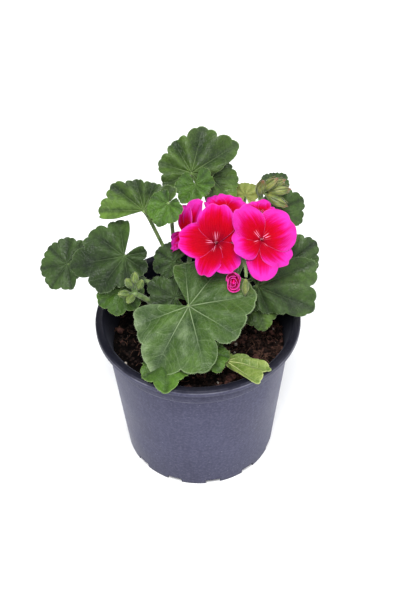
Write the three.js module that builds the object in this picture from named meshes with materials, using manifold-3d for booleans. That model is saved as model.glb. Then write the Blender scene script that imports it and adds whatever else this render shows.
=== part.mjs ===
// Potted pelargonium: a zonal pelargonium in flower, standing in a plain 12 cm nursery pot.
// Millimetres, +Z up, origin at the middle of the pot's underside, front towards -Y.
import * as THREE from "three";
import { mergeVertices } from "three/addons/utils/BufferGeometryUtils.js";
import Module from "manifold-3d";

const wasm = await Module();
wasm.setup();

// Driving dimensions
const GAP = 0.3; // air left between pieces that touch
const BLADE = 0.8; // thickness of a leaf blade
const PETAL = 0.7; // thickness of a petal
const POT = {
  lipRadius: 60,
  lipInner: 56,
  height: 101,
  lipDrop: 3,
  wall: 1.6,
  bandRadius: 55,
  bandHeight: 13,
  step: 0.8,
  baseRadius: 46,
  floor: 3,
  floorThickness: 2,
  footWidth: 2.2,
  sides: 32,
};
const NOTCH = { count: 12, width: 9, depth: 8, height: 3.5, first: 9 };
const DRAIN = { count: 5, radius: 4, at: 27, length: 20 };
const PAD = { radius: 14, height: 3.5 }; // the middle of the floor, which touches the ground
const SOIL = { top: 81, bottom: 5.3, wave: 1.6, edge: 0.5, sides: 20, rings: [0, 12, 24, 36, 47] };
const LOBES = 7;
const TEETH = 3; // in each lobe

const UP = new THREE.Vector3(0, 0, 1);
const vec = (p) => new THREE.Vector3(p[0], p[1], p[2]);
const radians = THREE.MathUtils.degToRad;
const clamp = THREE.MathUtils.clamp;

// Solids
function solid(geometry) {
  const bare = new THREE.BufferGeometry();
  bare.setAttribute("position", geometry.getAttribute("position"));
  bare.setIndex(geometry.getIndex());
  const merged = mergeVertices(bare, 1e-4);
  return new wasm.Manifold(
    new wasm.Mesh({
      numProp: 3,
      vertProperties: merged.getAttribute("position").array,
      triVerts: new Uint32Array(merged.getIndex().array),
    }),
  );
}

function geometryOf(body) {
  const mesh = body.getMesh();
  const geometry = new THREE.BufferGeometry();
  geometry.setAttribute("position", new THREE.BufferAttribute(mesh.vertProperties, 3));
  geometry.setIndex(new THREE.BufferAttribute(mesh.triVerts, 1));
  geometry.computeVertexNormals();
  return geometry;
}

const fuse = (bodies) => bodies.reduce((joined, body) => joined.add(body));

// A round rod of the given radius along a curve.
function rod(curve, radius, sides = 5, steps = 5) {
  const outline = new THREE.Shape();
  for (let i = 0; i < sides; i++) {
    const turn = (i / sides) * 2 * Math.PI;
    const point = [radius * Math.cos(turn), radius * Math.sin(turn)];
    if (i) outline.lineTo(...point);
    else outline.moveTo(...point);
  }
  const options = { steps, extrudePath: curve, bevelEnabled: false };
  return solid(new THREE.ExtrudeGeometry(outline, options));
}

// A solid of revolution about +Z from a profile of [radius, height] points.
function turned(profile, sides) {
  const points = profile.map(([radius, height]) => new THREE.Vector2(radius, height));
  const geometry = new THREE.LatheGeometry(points, sides);
  geometry.rotateX(Math.PI / 2);
  return solid(geometry);
}

// A thin sheet: a triangulated middle surface thickened both ways along one direction.
function sheet(points, triangles, border, lift) {
  const count = points.length;
  const positions = [];
  for (const side of [1, -1]) {
    for (const p of points) {
      positions.push(p.x + side * lift.x, p.y + side * lift.y, p.z + side * lift.z);
    }
  }
  const index = [];
  for (const [a, b, c] of triangles) {
    index.push(a, b, c, count + a, count + c, count + b);
  }
  border.forEach((a, i) => {
    const b = border[(i + 1) % border.length];
    index.push(a, count + a, b, b, count + a, count + b);
  });
  const geometry = new THREE.BufferGeometry();
  geometry.setAttribute("position", new THREE.Float32BufferAttribute(positions, 3));
  geometry.setIndex(index);
  return solid(geometry);
}

// Axes of a leaf or flower: it faces `normal`; `along` is its midrib, spin 0 pointing downhill.
function axesOf(turn, tilt, spin) {
  const [f, p, s] = [turn, tilt, spin].map(radians);
  const normal = new THREE.Vector3(
    Math.cos(p) * Math.sin(f),
    -Math.cos(p) * Math.cos(f),
    Math.sin(p),
  );
  const downhill = new THREE.Vector3(
    Math.sin(f) * Math.sin(p),
    -Math.cos(f) * Math.sin(p),
    -Math.cos(p),
  );
  const level = new THREE.Vector3().crossVectors(normal, downhill);
  const along = downhill.multiplyScalar(Math.cos(s)).addScaledVector(level, Math.sin(s));
  const across = new THREE.Vector3().crossVectors(normal, along);
  return { along, across, normal };
}

// Bends a flat length x at height h round a circle, so that the far end drops by `angle`.
function bent(x, h, angle, length) {
  const c = radians(angle) / length;
  if (Math.abs(c) < 1e-6) return [x, h];
  return [Math.sin(c * x) / c - h * Math.sin(c * x), h * Math.cos(c * x) - (1 - Math.cos(c * x)) / c];
}

// Leaf blades
const MARGIN = { lobePower: 0.6, toothPower: 0.7, cornerFrom: 0.93, cornerLoss: 0.3 };

// Radius of the scalloped margin at `angle` from the midrib; `half` is half the angle covered.
function marginRadius(leaf, angle, half) {
  const lobeAngle = (2 * half) / LOBES;
  const place = angle / lobeAngle + (LOBES - 1) / 2;
  const i = clamp(Math.floor(place), 0, LOBES - 2);
  const t = clamp(place - i, 0, 1);
  const blend = t * t * (3 - 2 * t);
  const reach = leaf.reach[i] * (1 - blend) + leaf.reach[i + 1] * blend;
  const lobe = Math.abs(Math.sin(Math.PI * (angle / lobeAngle + 0.5)));
  const tooth = Math.abs(Math.sin(Math.PI * TEETH * (angle / lobeAngle + 0.5)));
  const corner = clamp((Math.abs(angle) / half - MARGIN.cornerFrom) / (1 - MARGIN.cornerFrom), 0, 1);
  const depth = leaf.lobe + (leaf.split && leaf.split[0] === i ? leaf.split[1] : 0);
  return (
    reach *
    (1 - depth * (1 - lobe ** MARGIN.lobePower)) *
    (1 - leaf.tooth * (1 - tooth ** MARGIN.toothPower)) *
    (1 - MARGIN.cornerLoss * corner ** 2)
  );
}

// A point of the blade: `rho` runs from 0 at the leaf stalk to 1 at the margin.
function bladePoint(leaf, axes, rho, angle, half) {
  const size = Math.max(...leaf.reach);
  const radius = rho * marginRadius(leaf, angle, half);
  const lobeAngle = (2 * half) / LOBES;
  const q = radius / size;
  let u = radius * Math.cos(angle);
  let v = radius * Math.sin(angle);
  let h =
    size *
    (leaf.cup * q ** 2 -
      leaf.pleat * q * Math.cos((2 * Math.PI * angle) / lobeAngle) +
      leaf.wave * q ** 2.5 * Math.sin(leaf.waves * angle + radians(leaf.phase)));
  [u, h] = bent(u, h, leaf.curl, size);
  [v, h] = bent(v, h, leaf.roll, size);
  return vec(leaf.at)
    .addScaledVector(axes.along, u)
    .addScaledVector(axes.across, v)
    .addScaledVector(axes.normal, h);
}

// What a leaf has where its own row says nothing
const LEAF = {
  cup: 0.1,
  pleat: 0.025,
  wave: 0.05,
  waves: 3,
  phase: 0,
  curl: 12,
  roll: 8,
  lobe: 0.1,
  tooth: 0.038,
  rise: 0.9,
};
const RINGS = [0.3, 0.66]; // shares of the blade's radius between its middle and its margin

function blade(leaf, axes) {
  const half = Math.PI - radians(leaf.gap);
  const inner = LOBES * 2;
  const outer = LOBES * TEETH * 2;
  const each = outer / inner;
  const points = [bladePoint(leaf, axes, 0, 0, half)];
  const rings = [...RINGS.map((rho) => [rho, inner]), [1, outer]].map(([rho, count]) => {
    const start = points.length;
    for (let i = 0; i <= count; i++) {
      points.push(bladePoint(leaf, axes, rho, -half + (2 * half * i) / count, half));
    }
    return start;
  });
  const [first, second, last] = rings;
  const triangles = [];
  for (let i = 0; i < inner; i++) {
    const [a, b] = [first + i, second + i];
    triangles.push([0, a, a + 1], [a, b, b + 1], [a, b + 1, a + 1]);
    const c = last + each * i;
    triangles.push([b, c, c + 1], [b, c + 1, b + 1], [b + 1, c + 1, c + 2], [b + 1, c + 2, c + 3]);
  }
  const border = [0, first, second];
  for (let i = 0; i <= outer; i++) border.push(last + i);
  border.push(second + inner, first + inner);
  return sheet(points, triangles, border, axes.normal.clone().multiplyScalar(BLADE / 2));
}

// Stem: branches as curves from the soil up
const BRANCHES = {
  main: [[0, 3, 66], [0, 4, 86], [-3, 8, 108], [-5, 12, 128]],
  left: [[0, 4, 84], [-9, 3, 96], [-17, 3, 108], [-22, 4, 120]],
  right: [[0, 4, 82], [10, 3, 94], [18, 6, 108], [22, 10, 124]],
  back: [[0, 4, 88], [2, 16, 98], [4, 26, 112], [4, 32, 128]],
};
const BRANCH_RADIUS = 2.4;
const curves = Object.fromEntries(
  Object.entries(BRANCHES).map(([name, row]) => [name, new THREE.CatmullRomCurve3(row.map(vec))]),
);
const stemOf = (extra) =>
  fuse(Object.values(curves).map((curve) => rod(curve, BRANCH_RADIUS + extra, 6, 6)));
const stem = stemOf(0);
const stemRoom = stemOf(GAP);

const STALK = { radius: 1.1, start: 0.35, end: 0.3 }; // a leaf stalk, and where its bends are

// The stalk leaves its branch outwards and meets the blade square from behind.
function stalkCurve(foot, at, normal, rise, swing = [0, 0, 0]) {
  const span = foot.distanceTo(at);
  const out = at.clone().sub(foot).setZ(0).normalize().addScaledVector(UP, rise);
  return new THREE.CubicBezierCurve3(
    foot,
    foot.clone().addScaledVector(out.normalize(), STALK.start * span),
    at.clone().addScaledVector(normal, -STALK.end * span).add(vec(swing)),
    at,
  );
}

const LEAVES = [
  { name: "front", at: [-5, -18, 126], face: [-5, 60, 60], gap: 30, reach: [32, 43, 38, 33, 39, 33, 26],
    cup: 0.07, curl: 2, roll: 18, lobe: 0.06, tooth: 0.025, split: [2, 0.22], foot: ["main", 0.35] },
  { name: "front_low", at: [-17, -37, 103.6], face: [-15, 90, 12], gap: 20,
    reach: [11, 14, 19, 24, 16, 12, 11],
    cup: 0, wave: 0.02, curl: 2, roll: 0, foot: ["main", 0.3], rise: 0.4 },
  { name: "front_small", at: [4, -33, 104], face: [15, 75, 20], gap: 30,
    reach: [8, 9, 12, 15, 14, 11, 8],
    foot: ["right", 0.1], rise: 0.4 },
  { name: "yellow", at: [15, -34, 98], face: [-130, 80, -140], gap: 90, reach: [6, 29, 28, 15, 5, 5, 9],
    curl: 0, lobe: 0.06, foot: ["right", 0.15], rise: 0.3 },
  { name: "right_low", at: [34, -4, 127], face: [10, 45, 60], gap: 30,
    reach: [12, 14, 17, 36, 37, 12, 10],
    cup: 0.06, curl: 8, lobe: 0.14, foot: ["right", 0.6] },
  { name: "right_under", at: [33, -6, 117], face: [10, 48, 10], gap: 20,
    reach: [8, 10, 14, 18, 15, 13, 10],
    foot: ["right", 0.4] },
  { name: "right_mid", at: [54, 12, 131], face: [15, 48, 115], gap: 24,
    reach: [10, 14, 17, 20, 17, 14, 11],
    foot: ["right", 0.75] },
  { name: "right_up", at: [47, 40, 146], face: [18, 52, 100], gap: 18,
    reach: [9, 13, 17, 19, 15, 11, 8],
    foot: ["back", 0.72] },
  { name: "right_back", at: [46, 50, 157], face: [0, 62, 180], gap: 20,
    reach: [8, 9, 10, 8, 9, 9, 8],
    foot: ["back", 0.84] },
  { name: "top", at: [-2, 42, 173], face: [0, 48, 165], gap: 30, reach: [15, 12, 32, 28, 21, 20, 18],
    cup: 0.08, curl: 8, lobe: 0.12, foot: ["back", 1] },
  { name: "top_right", at: [9, 46, 166], face: [20, 50, 75], gap: 20, reach: [9, 17, 19, 17, 15, 10, 8],
    foot: ["back", 0.9] },
  { name: "mid_back", at: [0, 32, 172], face: [-5, 55, 10], gap: 20,
    reach: [10, 12, 13, 10, 9, 11, 12],
    curl: 15, foot: ["main", 1] },
  { name: "left_up", at: [-29, 20, 164], face: [-15, 48, 170], gap: 55,
    reach: [9, 12, 22, 17, 19, 25, 27],
    cup: 0.08, foot: ["main", 0.8] },
  { name: "left_inner", at: [-15, 14, 173], face: [-20, 55, -10], gap: 20,
    reach: [9, 11, 13, 14, 11, 9, 6],
    foot: ["main", 0.9], swing: [0, 12, 0] },
  { name: "left_big", at: [-41, 8, 141], face: [-8, 55, -30], gap: 20,
    reach: [22, 25, 32, 25, 18, 15, 13],
    cup: 0.06, curl: 8, lobe: 0.16, foot: ["left", 0.8] },
  { name: "left_far", at: [-74, 10, 134], face: [-20, 50, -70], gap: 14,
    reach: [17, 16, 16, 17, 17, 15, 10],
    curl: 10, foot: ["left", 1] },
  { name: "left_low", at: [-43, -2, 125], face: [-15, 60, 0], gap: 14,
    reach: [15, 15, 16, 16, 15, 13, 12],
    curl: 20, foot: ["left", 0.6] },
  { name: "inner_left", at: [-13, 7.2, 136.6], face: [-20, 50, -60], gap: 14,
    reach: [9, 12, 13, 13, 10, 7, 6],
    foot: ["left", 0.9] },
  { name: "inner_low", at: [-12.5, -9, 124], face: [-15, 58, -110], gap: 14,
    reach: [9.5, 13, 17, 19, 14, 10, 8],
    foot: ["left", 0.3] },
  { name: "rear", at: [11, 62, 111], face: [175, 55, 5], gap: 18, reach: [17, 20, 22, 24, 22, 20, 17],
    foot: ["back", 0.3] },
  { name: "rear_right", at: [43, 54, 116], face: [140, 50, 0], gap: 18,
    reach: [16, 18, 20, 20, 20, 18, 16],
    foot: ["back", 0.6] },
  { name: "bract", at: [29, 47, 152], face: [0, 55, 180], gap: 20, reach: [7, 8, 9, 8, 9, 8, 7],
    foot: ["right", 0.9] },
];

function leafGeometry(given) {
  const leaf = { ...LEAF, ...given };
  const axes = axesOf(...leaf.face);
  const [branch, share] = leaf.foot;
  const foot = curves[branch].getPointAt(share);
  const curve = stalkCurve(foot, vec(leaf.at), axes.normal, leaf.rise, leaf.swing);
  return blade(leaf, axes).add(rod(curve, STALK.radius).subtract(stemRoom));
}

// Flowers: each petal is [direction round the face, length, width]
const FLORETS = [
  { name: "left", at: [11, 2, 155], face: [-12, 47, 0],
    petals: [[150, 16, 15], [38, 19, 18], [-14, 20, 15], [-88, 21, 20], [-175, 21, 22]] },
  { name: "right", at: [35, -3, 161], face: [10, 45, 0],
    petals: [[-4, 23, 18], [42, 20, 17], [110, 20, 25], [-85, 16, 20], [-150, 21, 18]] },
  { name: "side", at: [-5, 13, 151], face: [-60, 35, 0],
    petals: [[-170, 22, 13], [-142, 18, 12], [-42, 11.5, 7], [-12, 12.5, 8]] },
  { name: "top_left", at: [17, 21, 161], face: [-20, 80, 0],
    petals: [[180, 12, 16], [-110, 14, 12], [120, 12, 12]] },
  { name: "top_right", at: [36, 16, 162], face: [20, 75, 0],
    petals: [[180, 10, 16], [110, 9, 12], [-110, 12, 12]] },
];

const OUTLINE = { claw: 0.16, widest: 0.62, tipLoss: 0.16, shoulder: 0.24, shoulderPower: 2.8 };

// Half width of a petal at share s of its length, from claw to tip.
function petalHalf(width, s) {
  const swell = Math.sin((Math.PI / 2) * Math.min(1, s / OUTLINE.widest));
  const past = Math.max(0, s - OUTLINE.widest) / (1 - OUTLINE.widest);
  return (width / 2) * (OUTLINE.claw + (1 - OUTLINE.claw) * swell) * (1 - OUTLINE.tipLoss * past ** 2);
}

const BLOOM = { rise: 0.12, arch: 0.05, dish: 0.08, ripple: 0.03, stack: 0.25 };

function petal(bloom, axes, [direction, length, width], order, rows = 4, columns = 4) {
  const turn = radians(direction);
  const out = axes.along.clone().multiplyScalar(Math.cos(turn));
  out.addScaledVector(axes.across, Math.sin(turn));
  const side = new THREE.Vector3().crossVectors(axes.normal, out);
  const points = [];
  for (let row = 0; row <= rows; row++) {
    for (let column = 0; column <= columns; column++) {
      const s = row / rows;
      const v = (2 * column) / columns - 1;
      const x = s * length * (1 - OUTLINE.shoulder * Math.abs(v) ** OUTLINE.shoulderPower);
      const y = v * petalHalf(width, s);
      const h =
        bloom.rise * x -
        bloom.arch * length * s ** 2 +
        bloom.dish * width * v ** 2 * s +
        bloom.ripple * length * s ** 2 * Math.sin(3 * v + 2 * order) +
        bloom.stack * order;
      const point = vec(bloom.at).addScaledVector(out, x).addScaledVector(side, y);
      points.push(point.addScaledVector(axes.normal, h));
    }
  }
  const across = columns + 1;
  const triangles = [];
  for (let row = 0; row < rows; row++) {
    for (let column = 0; column < columns; column++) {
      const a = row * across + column;
      triangles.push([a, a + across, a + across + 1], [a, a + across + 1, a + 1]);
    }
  }
  const border = [];
  for (let row = 0; row <= rows; row++) border.push(row * across);
  for (let column = 1; column <= columns; column++) border.push(rows * across + column);
  for (let row = rows - 1; row >= 0; row--) border.push(row * across + columns);
  for (let column = columns - 1; column > 0; column--) border.push(column);
  return sheet(points, triangles, border, axes.normal.clone().multiplyScalar(PETAL / 2));
}

// Places a solid made about +Z so that +Z points along `direction` at `at`.
function placed(body, at, direction) {
  const turn = new THREE.Quaternion().setFromUnitVectors(UP, direction.clone().normalize());
  const matrix = new THREE.Matrix4().compose(at, turn, new THREE.Vector3(1, 1, 1));
  return body.transform(matrix.elements);
}

const HEART = { depth: 4, radius: 2, back: 1.2, column: 3.5 };
const heart = turned(
  [
    [0, -HEART.depth], [HEART.back, -HEART.depth], [HEART.radius, 0],
    [1, 1.2], [0.8, HEART.column], [0, HEART.column],
  ],
  6,
);

function floretBody(given) {
  const bloom = { ...BLOOM, ...given };
  const axes = axesOf(...bloom.face);
  const petals = bloom.petals.map((size, order) => petal(bloom, axes, size, order));
  return fuse([placed(heart, vec(bloom.at), axes.normal), ...petals]);
}

// Umbel: one stalk from the right branch, a short flower stalk to each floret's calyx
const UMBEL = { hub: [24, 16, 141], from: 0.97, stalkRadius: 1.7, pedicelRadius: 0.8, bow: 9, budBow: 8 };
const HUB = [[0, -2.4], [1.6, -1.6], [2.4, 0], [1.6, 1.6], [0, 2.4]];
const CALYX = { length: 5, foot: 0.9, neck: 1.4, mouth: 2.6 };
const calyx = turned(
  [[0, -CALYX.length], [CALYX.foot, -CALYX.length], [CALYX.neck, -1], [CALYX.mouth, 0], [0, 0]],
  6,
);

const OPENING = {
  at: [20.4, -8, 141],
  face: [0, -50, 0],
  petals: 3,
  length: 10,
  width: 8,
  core: 2.6,
  rise: 2.2,
  arch: 0.5,
  dish: 0.25,
  ripple: 0.02,
  stack: 0.25,
};
const HANGING = { at: [26.8, -14.2, 142.5], tip: [26.4, -15.2, 130], radius: 2.4 };

function spindle(radius, length, sides = 5) {
  const shares = [0, 0.12, 0.35, 0.6, 0.85, 1];
  const widths = [0, 0.55, 0.95, 1, 0.55, 0];
  return turned(shares.map((s, i) => [radius * widths[i], length * s]), sides);
}

function openingBud() {
  const axes = axesOf(...OPENING.face);
  const at = vec(OPENING.at);
  const core = spindle(OPENING.core, OPENING.length);
  const petals = [];
  for (let i = 0; i < OPENING.petals; i++) {
    const size = [(360 / OPENING.petals) * i, OPENING.length * 0.45, OPENING.width];
    petals.push(petal(OPENING, axes, size, i, 2, 2));
  }
  return fuse([placed(core, at.addScaledVector(axes.normal, -1), axes.normal), ...petals]);
}

function umbelStalk() {
  const hub = vec(UMBEL.hub);
  const start = curves.right.getPointAt(UMBEL.from);
  const stalk = new THREE.CubicBezierCurve3(
    start,
    start.clone().add(vec([1, 2, 8])),
    hub.clone().add(vec([0, 0, -8])),
    hub,
  );
  const bodies = [rod(stalk, UMBEL.stalkRadius, 6, 5).subtract(stemRoom)];
  bodies.push(placed(turned(HUB, 8), hub, UP));
  for (const bloom of FLORETS) {
    const { normal } = axesOf(...bloom.face);
    const end = vec(bloom.at).addScaledVector(normal, -HEART.depth - GAP);
    bodies.push(placed(calyx, end, normal));
    const bend = end.clone().addScaledVector(normal, -UMBEL.bow);
    const neck = end.clone().addScaledVector(normal, 1 - CALYX.length);
    bodies.push(rod(new THREE.QuadraticBezierCurve3(hub, bend, neck), UMBEL.pedicelRadius, 5, 4));
  }
  const buds = [
    [OPENING.at, axesOf(...OPENING.face).normal],
    [HANGING.at, vec(HANGING.tip).sub(vec(HANGING.at)).normalize()],
  ];
  for (const [at, direction] of buds) {
    const end = vec(at).addScaledVector(direction, -1 - GAP);
    const bend = end.clone().addScaledVector(direction, -UMBEL.budBow);
    bodies.push(rod(new THREE.QuadraticBezierCurve3(hub, bend, end), UMBEL.pedicelRadius, 5, 4));
  }
  return fuse(bodies);
}

// Bud clusters: a stalk that ends in a fan of pointed buds on short stalks
const CLUSTER = { stalk: 1.5, rise: 0.8, pedicel: 0.8, node: [[0, -2], [1.8, -1], [2.2, 0.4], [0, 2]] };
const CLUSTERS = [
  { name: "buds_right", foot: ["right", 0.8], centre: [37, 39, 161], lean: [-0.2, -0.2, 1],
    length: 14.5, radius: 2.9,
    tips: [[52, 42, 167], [55, 38, 163], [53, 33, 154], [47, 37, 172], [38.5, 36, 171.5]] },
  { name: "buds_left", foot: ["left", 0.45], centre: [-35, -12, 131], lean: [-0.6, -0.3, 0.7],
    length: 8.5, radius: 2.1,
    tips: [[-34, -12, 147], [-39, -14, 144], [-44, -18, 136], [-39, -21, 132], [-30, -13, 142]] },
];

function cluster(given) {
  const [branch, share] = given.foot;
  const foot = curves[branch].getPointAt(share);
  const centre = vec(given.centre);
  const curve = stalkCurve(foot, centre, vec(given.lean).normalize(), CLUSTER.rise);
  const bodies = [rod(curve, CLUSTER.stalk).subtract(stemRoom)];
  bodies.push(placed(turned(CLUSTER.node, 8), centre, UP));
  for (const tip of given.tips.map(vec)) {
    const direction = tip.clone().sub(centre).normalize();
    const start = tip.clone().addScaledVector(direction, -given.length);
    bodies.push(placed(spindle(given.radius, given.length), start, direction));
    const joint = start.clone().addScaledVector(direction, 1.5);
    bodies.push(rod(new THREE.LineCurve3(centre, joint), CLUSTER.pedicel, 5, 1));
  }
  return fuse(bodies);
}

function hangingBud() {
  const top = vec(HANGING.at);
  const direction = vec(HANGING.tip).sub(top);
  return placed(spindle(HANGING.radius, direction.length()), top, direction);
}

// Pot: a moulded wall with a flat lip, a band, a stepped body, a notched foot and a drained floor
const shoulder = POT.height - POT.lipDrop;
const bandFoot = shoulder - POT.bandHeight;
const slope = (POT.bandRadius - 1 - POT.baseRadius) / bandFoot;
const innerRadius = (z) => POT.baseRadius + slope * z - POT.wall;

function potWall() {
  const floorTop = POT.floor + POT.floorThickness;
  return turned(
    [
      [0, POT.floor], [POT.baseRadius - POT.footWidth - 1, POT.floor],
      [POT.baseRadius - POT.footWidth, 0], [POT.baseRadius - 1, 0], [POT.baseRadius, 1],
      [POT.bandRadius - 1, bandFoot], [POT.bandRadius - POT.step, bandFoot + 0.6],
      [POT.bandRadius, bandFoot + 1.4], [POT.bandRadius + 0.4, shoulder],
      [POT.lipRadius, shoulder - 1.6], [POT.lipRadius, POT.height - 0.6],
      [POT.lipRadius - 0.6, POT.height], [POT.lipInner, POT.height],
      [POT.lipInner - 1.4, POT.height - 1.6], [innerRadius(bandFoot), bandFoot - 4],
      [innerRadius(floorTop), floorTop], [0, floorTop],
    ],
    POT.sides,
  );
}

function pot() {
  let body = potWall();
  const notch = new THREE.BoxGeometry(NOTCH.width, NOTCH.depth, 2 * NOTCH.height);
  for (let i = 0; i < NOTCH.count; i++) {
    const cut = notch.clone().translate(0, POT.baseRadius, 0);
    cut.rotateZ(radians(NOTCH.first + (360 / NOTCH.count) * i));
    body = body.subtract(solid(cut));
  }
  const hole = new THREE.CylinderGeometry(DRAIN.radius, DRAIN.radius, DRAIN.length, 16);
  hole.rotateX(Math.PI / 2);
  for (let i = 0; i < DRAIN.count; i++) {
    const turn = (2 * Math.PI * i) / DRAIN.count;
    const cut = hole.clone().translate(DRAIN.at * Math.cos(turn), DRAIN.at * Math.sin(turn), 0);
    body = body.subtract(solid(cut));
  }
  const pad = new THREE.CylinderGeometry(PAD.radius, PAD.radius, PAD.height, 32);
  pad.rotateX(Math.PI / 2).translate(0, 0, PAD.height / 2);
  return body.add(solid(pad));
}

// Soil: fills the pot to about two centimetres under the lip, with a hole where the stem stands
const STEM_HOLE = [[0, 3, 64], [0, 4, 90]];

function soil() {
  const radiusAt = (z) => innerRadius(z) - 3 * GAP;
  const top = SOIL.rings.map((radius, i) => [radius, SOIL.top + SOIL.wave * Math.cos(2.1 * i)]);
  const edge = [radiusAt(SOIL.top) - SOIL.edge, SOIL.top - SOIL.edge];
  const profile = [[0, SOIL.bottom], [radiusAt(SOIL.bottom), SOIL.bottom], edge, ...top.reverse()];
  const hole = rod(new THREE.LineCurve3(...STEM_HOLE.map(vec)), BRANCH_RADIUS + 2 * GAP, 8, 1);
  return turned(profile, SOIL.sides).subtract(hole).subtract(stemRoom);
}

// Colours and assembly
const COLOURS = {
  pot: "#6f7084",
  soil: "#2e2320",
  leaf: "#5f7d4c",
  young: "#8ea65e",
  faded: "#b3bf77",
  stem: "#6d8350",
  petal: "#f2307c",
  bud: "#9aa860",
};
const group = new THREE.Group();

function addPiece(name, body, colour, roughness = 0.6) {
  const material = new THREE.MeshStandardMaterial({ color: COLOURS[colour], roughness, metalness: 0 });
  const mesh = new THREE.Mesh(geometryOf(body), material);
  mesh.name = name;
  group.add(mesh);
}

const LEAF_COLOURS = {
  yellow: "faded",
  right_back: "faded",
  bract: "faded",
  mid_back: "young",
  front_small: "young",
};

addPiece("pot", pot(), "pot", 0.45);
addPiece("soil", soil(), "soil", 0.95);
addPiece("stem", stem, "stem");
for (const leaf of LEAVES) {
  addPiece("leaf_" + leaf.name, leafGeometry(leaf), LEAF_COLOURS[leaf.name] ?? "leaf");
}
addPiece("umbel_stalk", umbelStalk(), "stem");
for (const bloom of FLORETS) addPiece("floret_" + bloom.name, floretBody(bloom), "petal");
addPiece("opening_bud", openingBud(), "petal");
addPiece("hanging_bud", hangingBud(), "bud");
for (const given of CLUSTERS) addPiece(given.name, cluster(given), "bud");

export default group;
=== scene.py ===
"""Looks of the potted pelargonium: fine leaves, flowers, buds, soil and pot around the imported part."""

from math import cos, pi, radians, sin, sqrt

import bpy
import numpy as np
from mathutils import Matrix


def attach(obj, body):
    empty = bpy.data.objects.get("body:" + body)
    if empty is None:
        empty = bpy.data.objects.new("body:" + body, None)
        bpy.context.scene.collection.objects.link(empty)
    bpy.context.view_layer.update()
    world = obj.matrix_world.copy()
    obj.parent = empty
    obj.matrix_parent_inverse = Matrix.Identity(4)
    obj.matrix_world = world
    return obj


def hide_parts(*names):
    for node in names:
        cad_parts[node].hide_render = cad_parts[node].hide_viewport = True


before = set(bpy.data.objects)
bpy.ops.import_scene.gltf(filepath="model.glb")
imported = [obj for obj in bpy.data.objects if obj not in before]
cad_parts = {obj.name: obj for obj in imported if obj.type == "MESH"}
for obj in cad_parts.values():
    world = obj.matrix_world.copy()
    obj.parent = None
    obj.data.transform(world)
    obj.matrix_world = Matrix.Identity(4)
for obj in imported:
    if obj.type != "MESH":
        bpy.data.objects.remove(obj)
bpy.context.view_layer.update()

MM = 0.001
TURN = 2 * pi
UP = np.array([0.0, 0.0, 1.0])
LOBES = 7
TEETH = 3
SEPALS = 5


def vec(p):
    return np.array(p, float)


def unit(v):
    return v / np.linalg.norm(v, axis=-1, keepdims=True)


def smooth(x, low=0.0, high=1.0):
    """Smooth step of x from low to high."""
    t = np.clip((x - low) / (high - low), 0, 1)
    return t * t * (3 - 2 * t)


def circle(sides):
    """Angles of equal steps round a circle."""
    return np.arange(sides) / sides * TURN


def two_across(direction, start):
    """Two ways square to a direction and to each other; `start` only sets where the first one lies."""
    side = unit(np.cross(direction, vec(start)))
    return side, np.cross(direction, side)


def round_way(turn, side, other):
    """The way at each angle from `side` towards `other`."""
    return np.cos(turn)[..., None] * side + np.sin(turn)[..., None] * other


def from_place(at, *parts):
    """Points reached from a place by going a distance along each way, given as (distance, way)."""
    for distance, way in parts:
        at = at + distance[..., None] * way
    return at


def axes_of(turn, tilt, spin):
    """The midrib's way, the way across it and the way a leaf or flower faces; spin 0 points downhill."""
    f, p, s = (radians(a) for a in (turn, tilt, spin))
    normal = vec([cos(p) * sin(f), -cos(p) * cos(f), sin(p)])
    downhill = vec([sin(f) * sin(p), -cos(f) * sin(p), -cos(p)])
    along = downhill * cos(s) + np.cross(normal, downhill) * sin(s)
    return along, np.cross(normal, along), normal


def bent(x, h, angle, length):
    """Bends a flat length x at height h round a circle, so that the far end drops by `angle`."""
    c = radians(angle) / length
    if abs(c) < 1e-6:
        return x, h
    return np.sin(c * x) * (1 / c - h), h * np.cos(c * x) - (1 - np.cos(c * x)) / c


class Noise:
    """Smooth random values over a plane, the same at each run."""

    size = 64
    shift = (7.3, 3.1)  # of each octave against the one before

    def __init__(self, seed):
        self.table = np.random.RandomState(seed).rand(self.size, self.size)

    def __call__(self, x, y, cell=1.0, octaves=1):
        total, weight = 0.0, 0.0
        for k in range(octaves):
            u, v = (p / cell * 2**k + shift * k for p, shift in zip((x, y), self.shift))
            total = total + 0.5**k * self.single(u, v)
            weight += 0.5**k
        return total / weight

    def single(self, x, y):
        i, j = np.floor(x).astype(int), np.floor(y).astype(int)
        u, v = smooth(x - i), smooth(y - j)
        i, after = i % self.size, (i + 1) % self.size
        rows = []
        for k in (j % self.size, (j + 1) % self.size):
            rows.append(self.table[i, k] * (1 - u) + self.table[after, k] * u)
        return rows[0] * (1 - v) + rows[1] * v


def bezier(points, count):
    """Points at evenly spaced parameters of a quadratic or cubic Bezier curve."""
    t = np.linspace(0, 1, count)[:, None]
    p = [vec(q) for q in points]
    if len(p) == 3:
        return (1 - t) ** 2 * p[0] + 2 * t * (1 - t) * p[1] + t**2 * p[2]
    return (1 - t) ** 3 * p[0] + 3 * t * (1 - t) ** 2 * p[1] + 3 * t**2 * (1 - t) * p[2] + t**3 * p[3]


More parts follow.
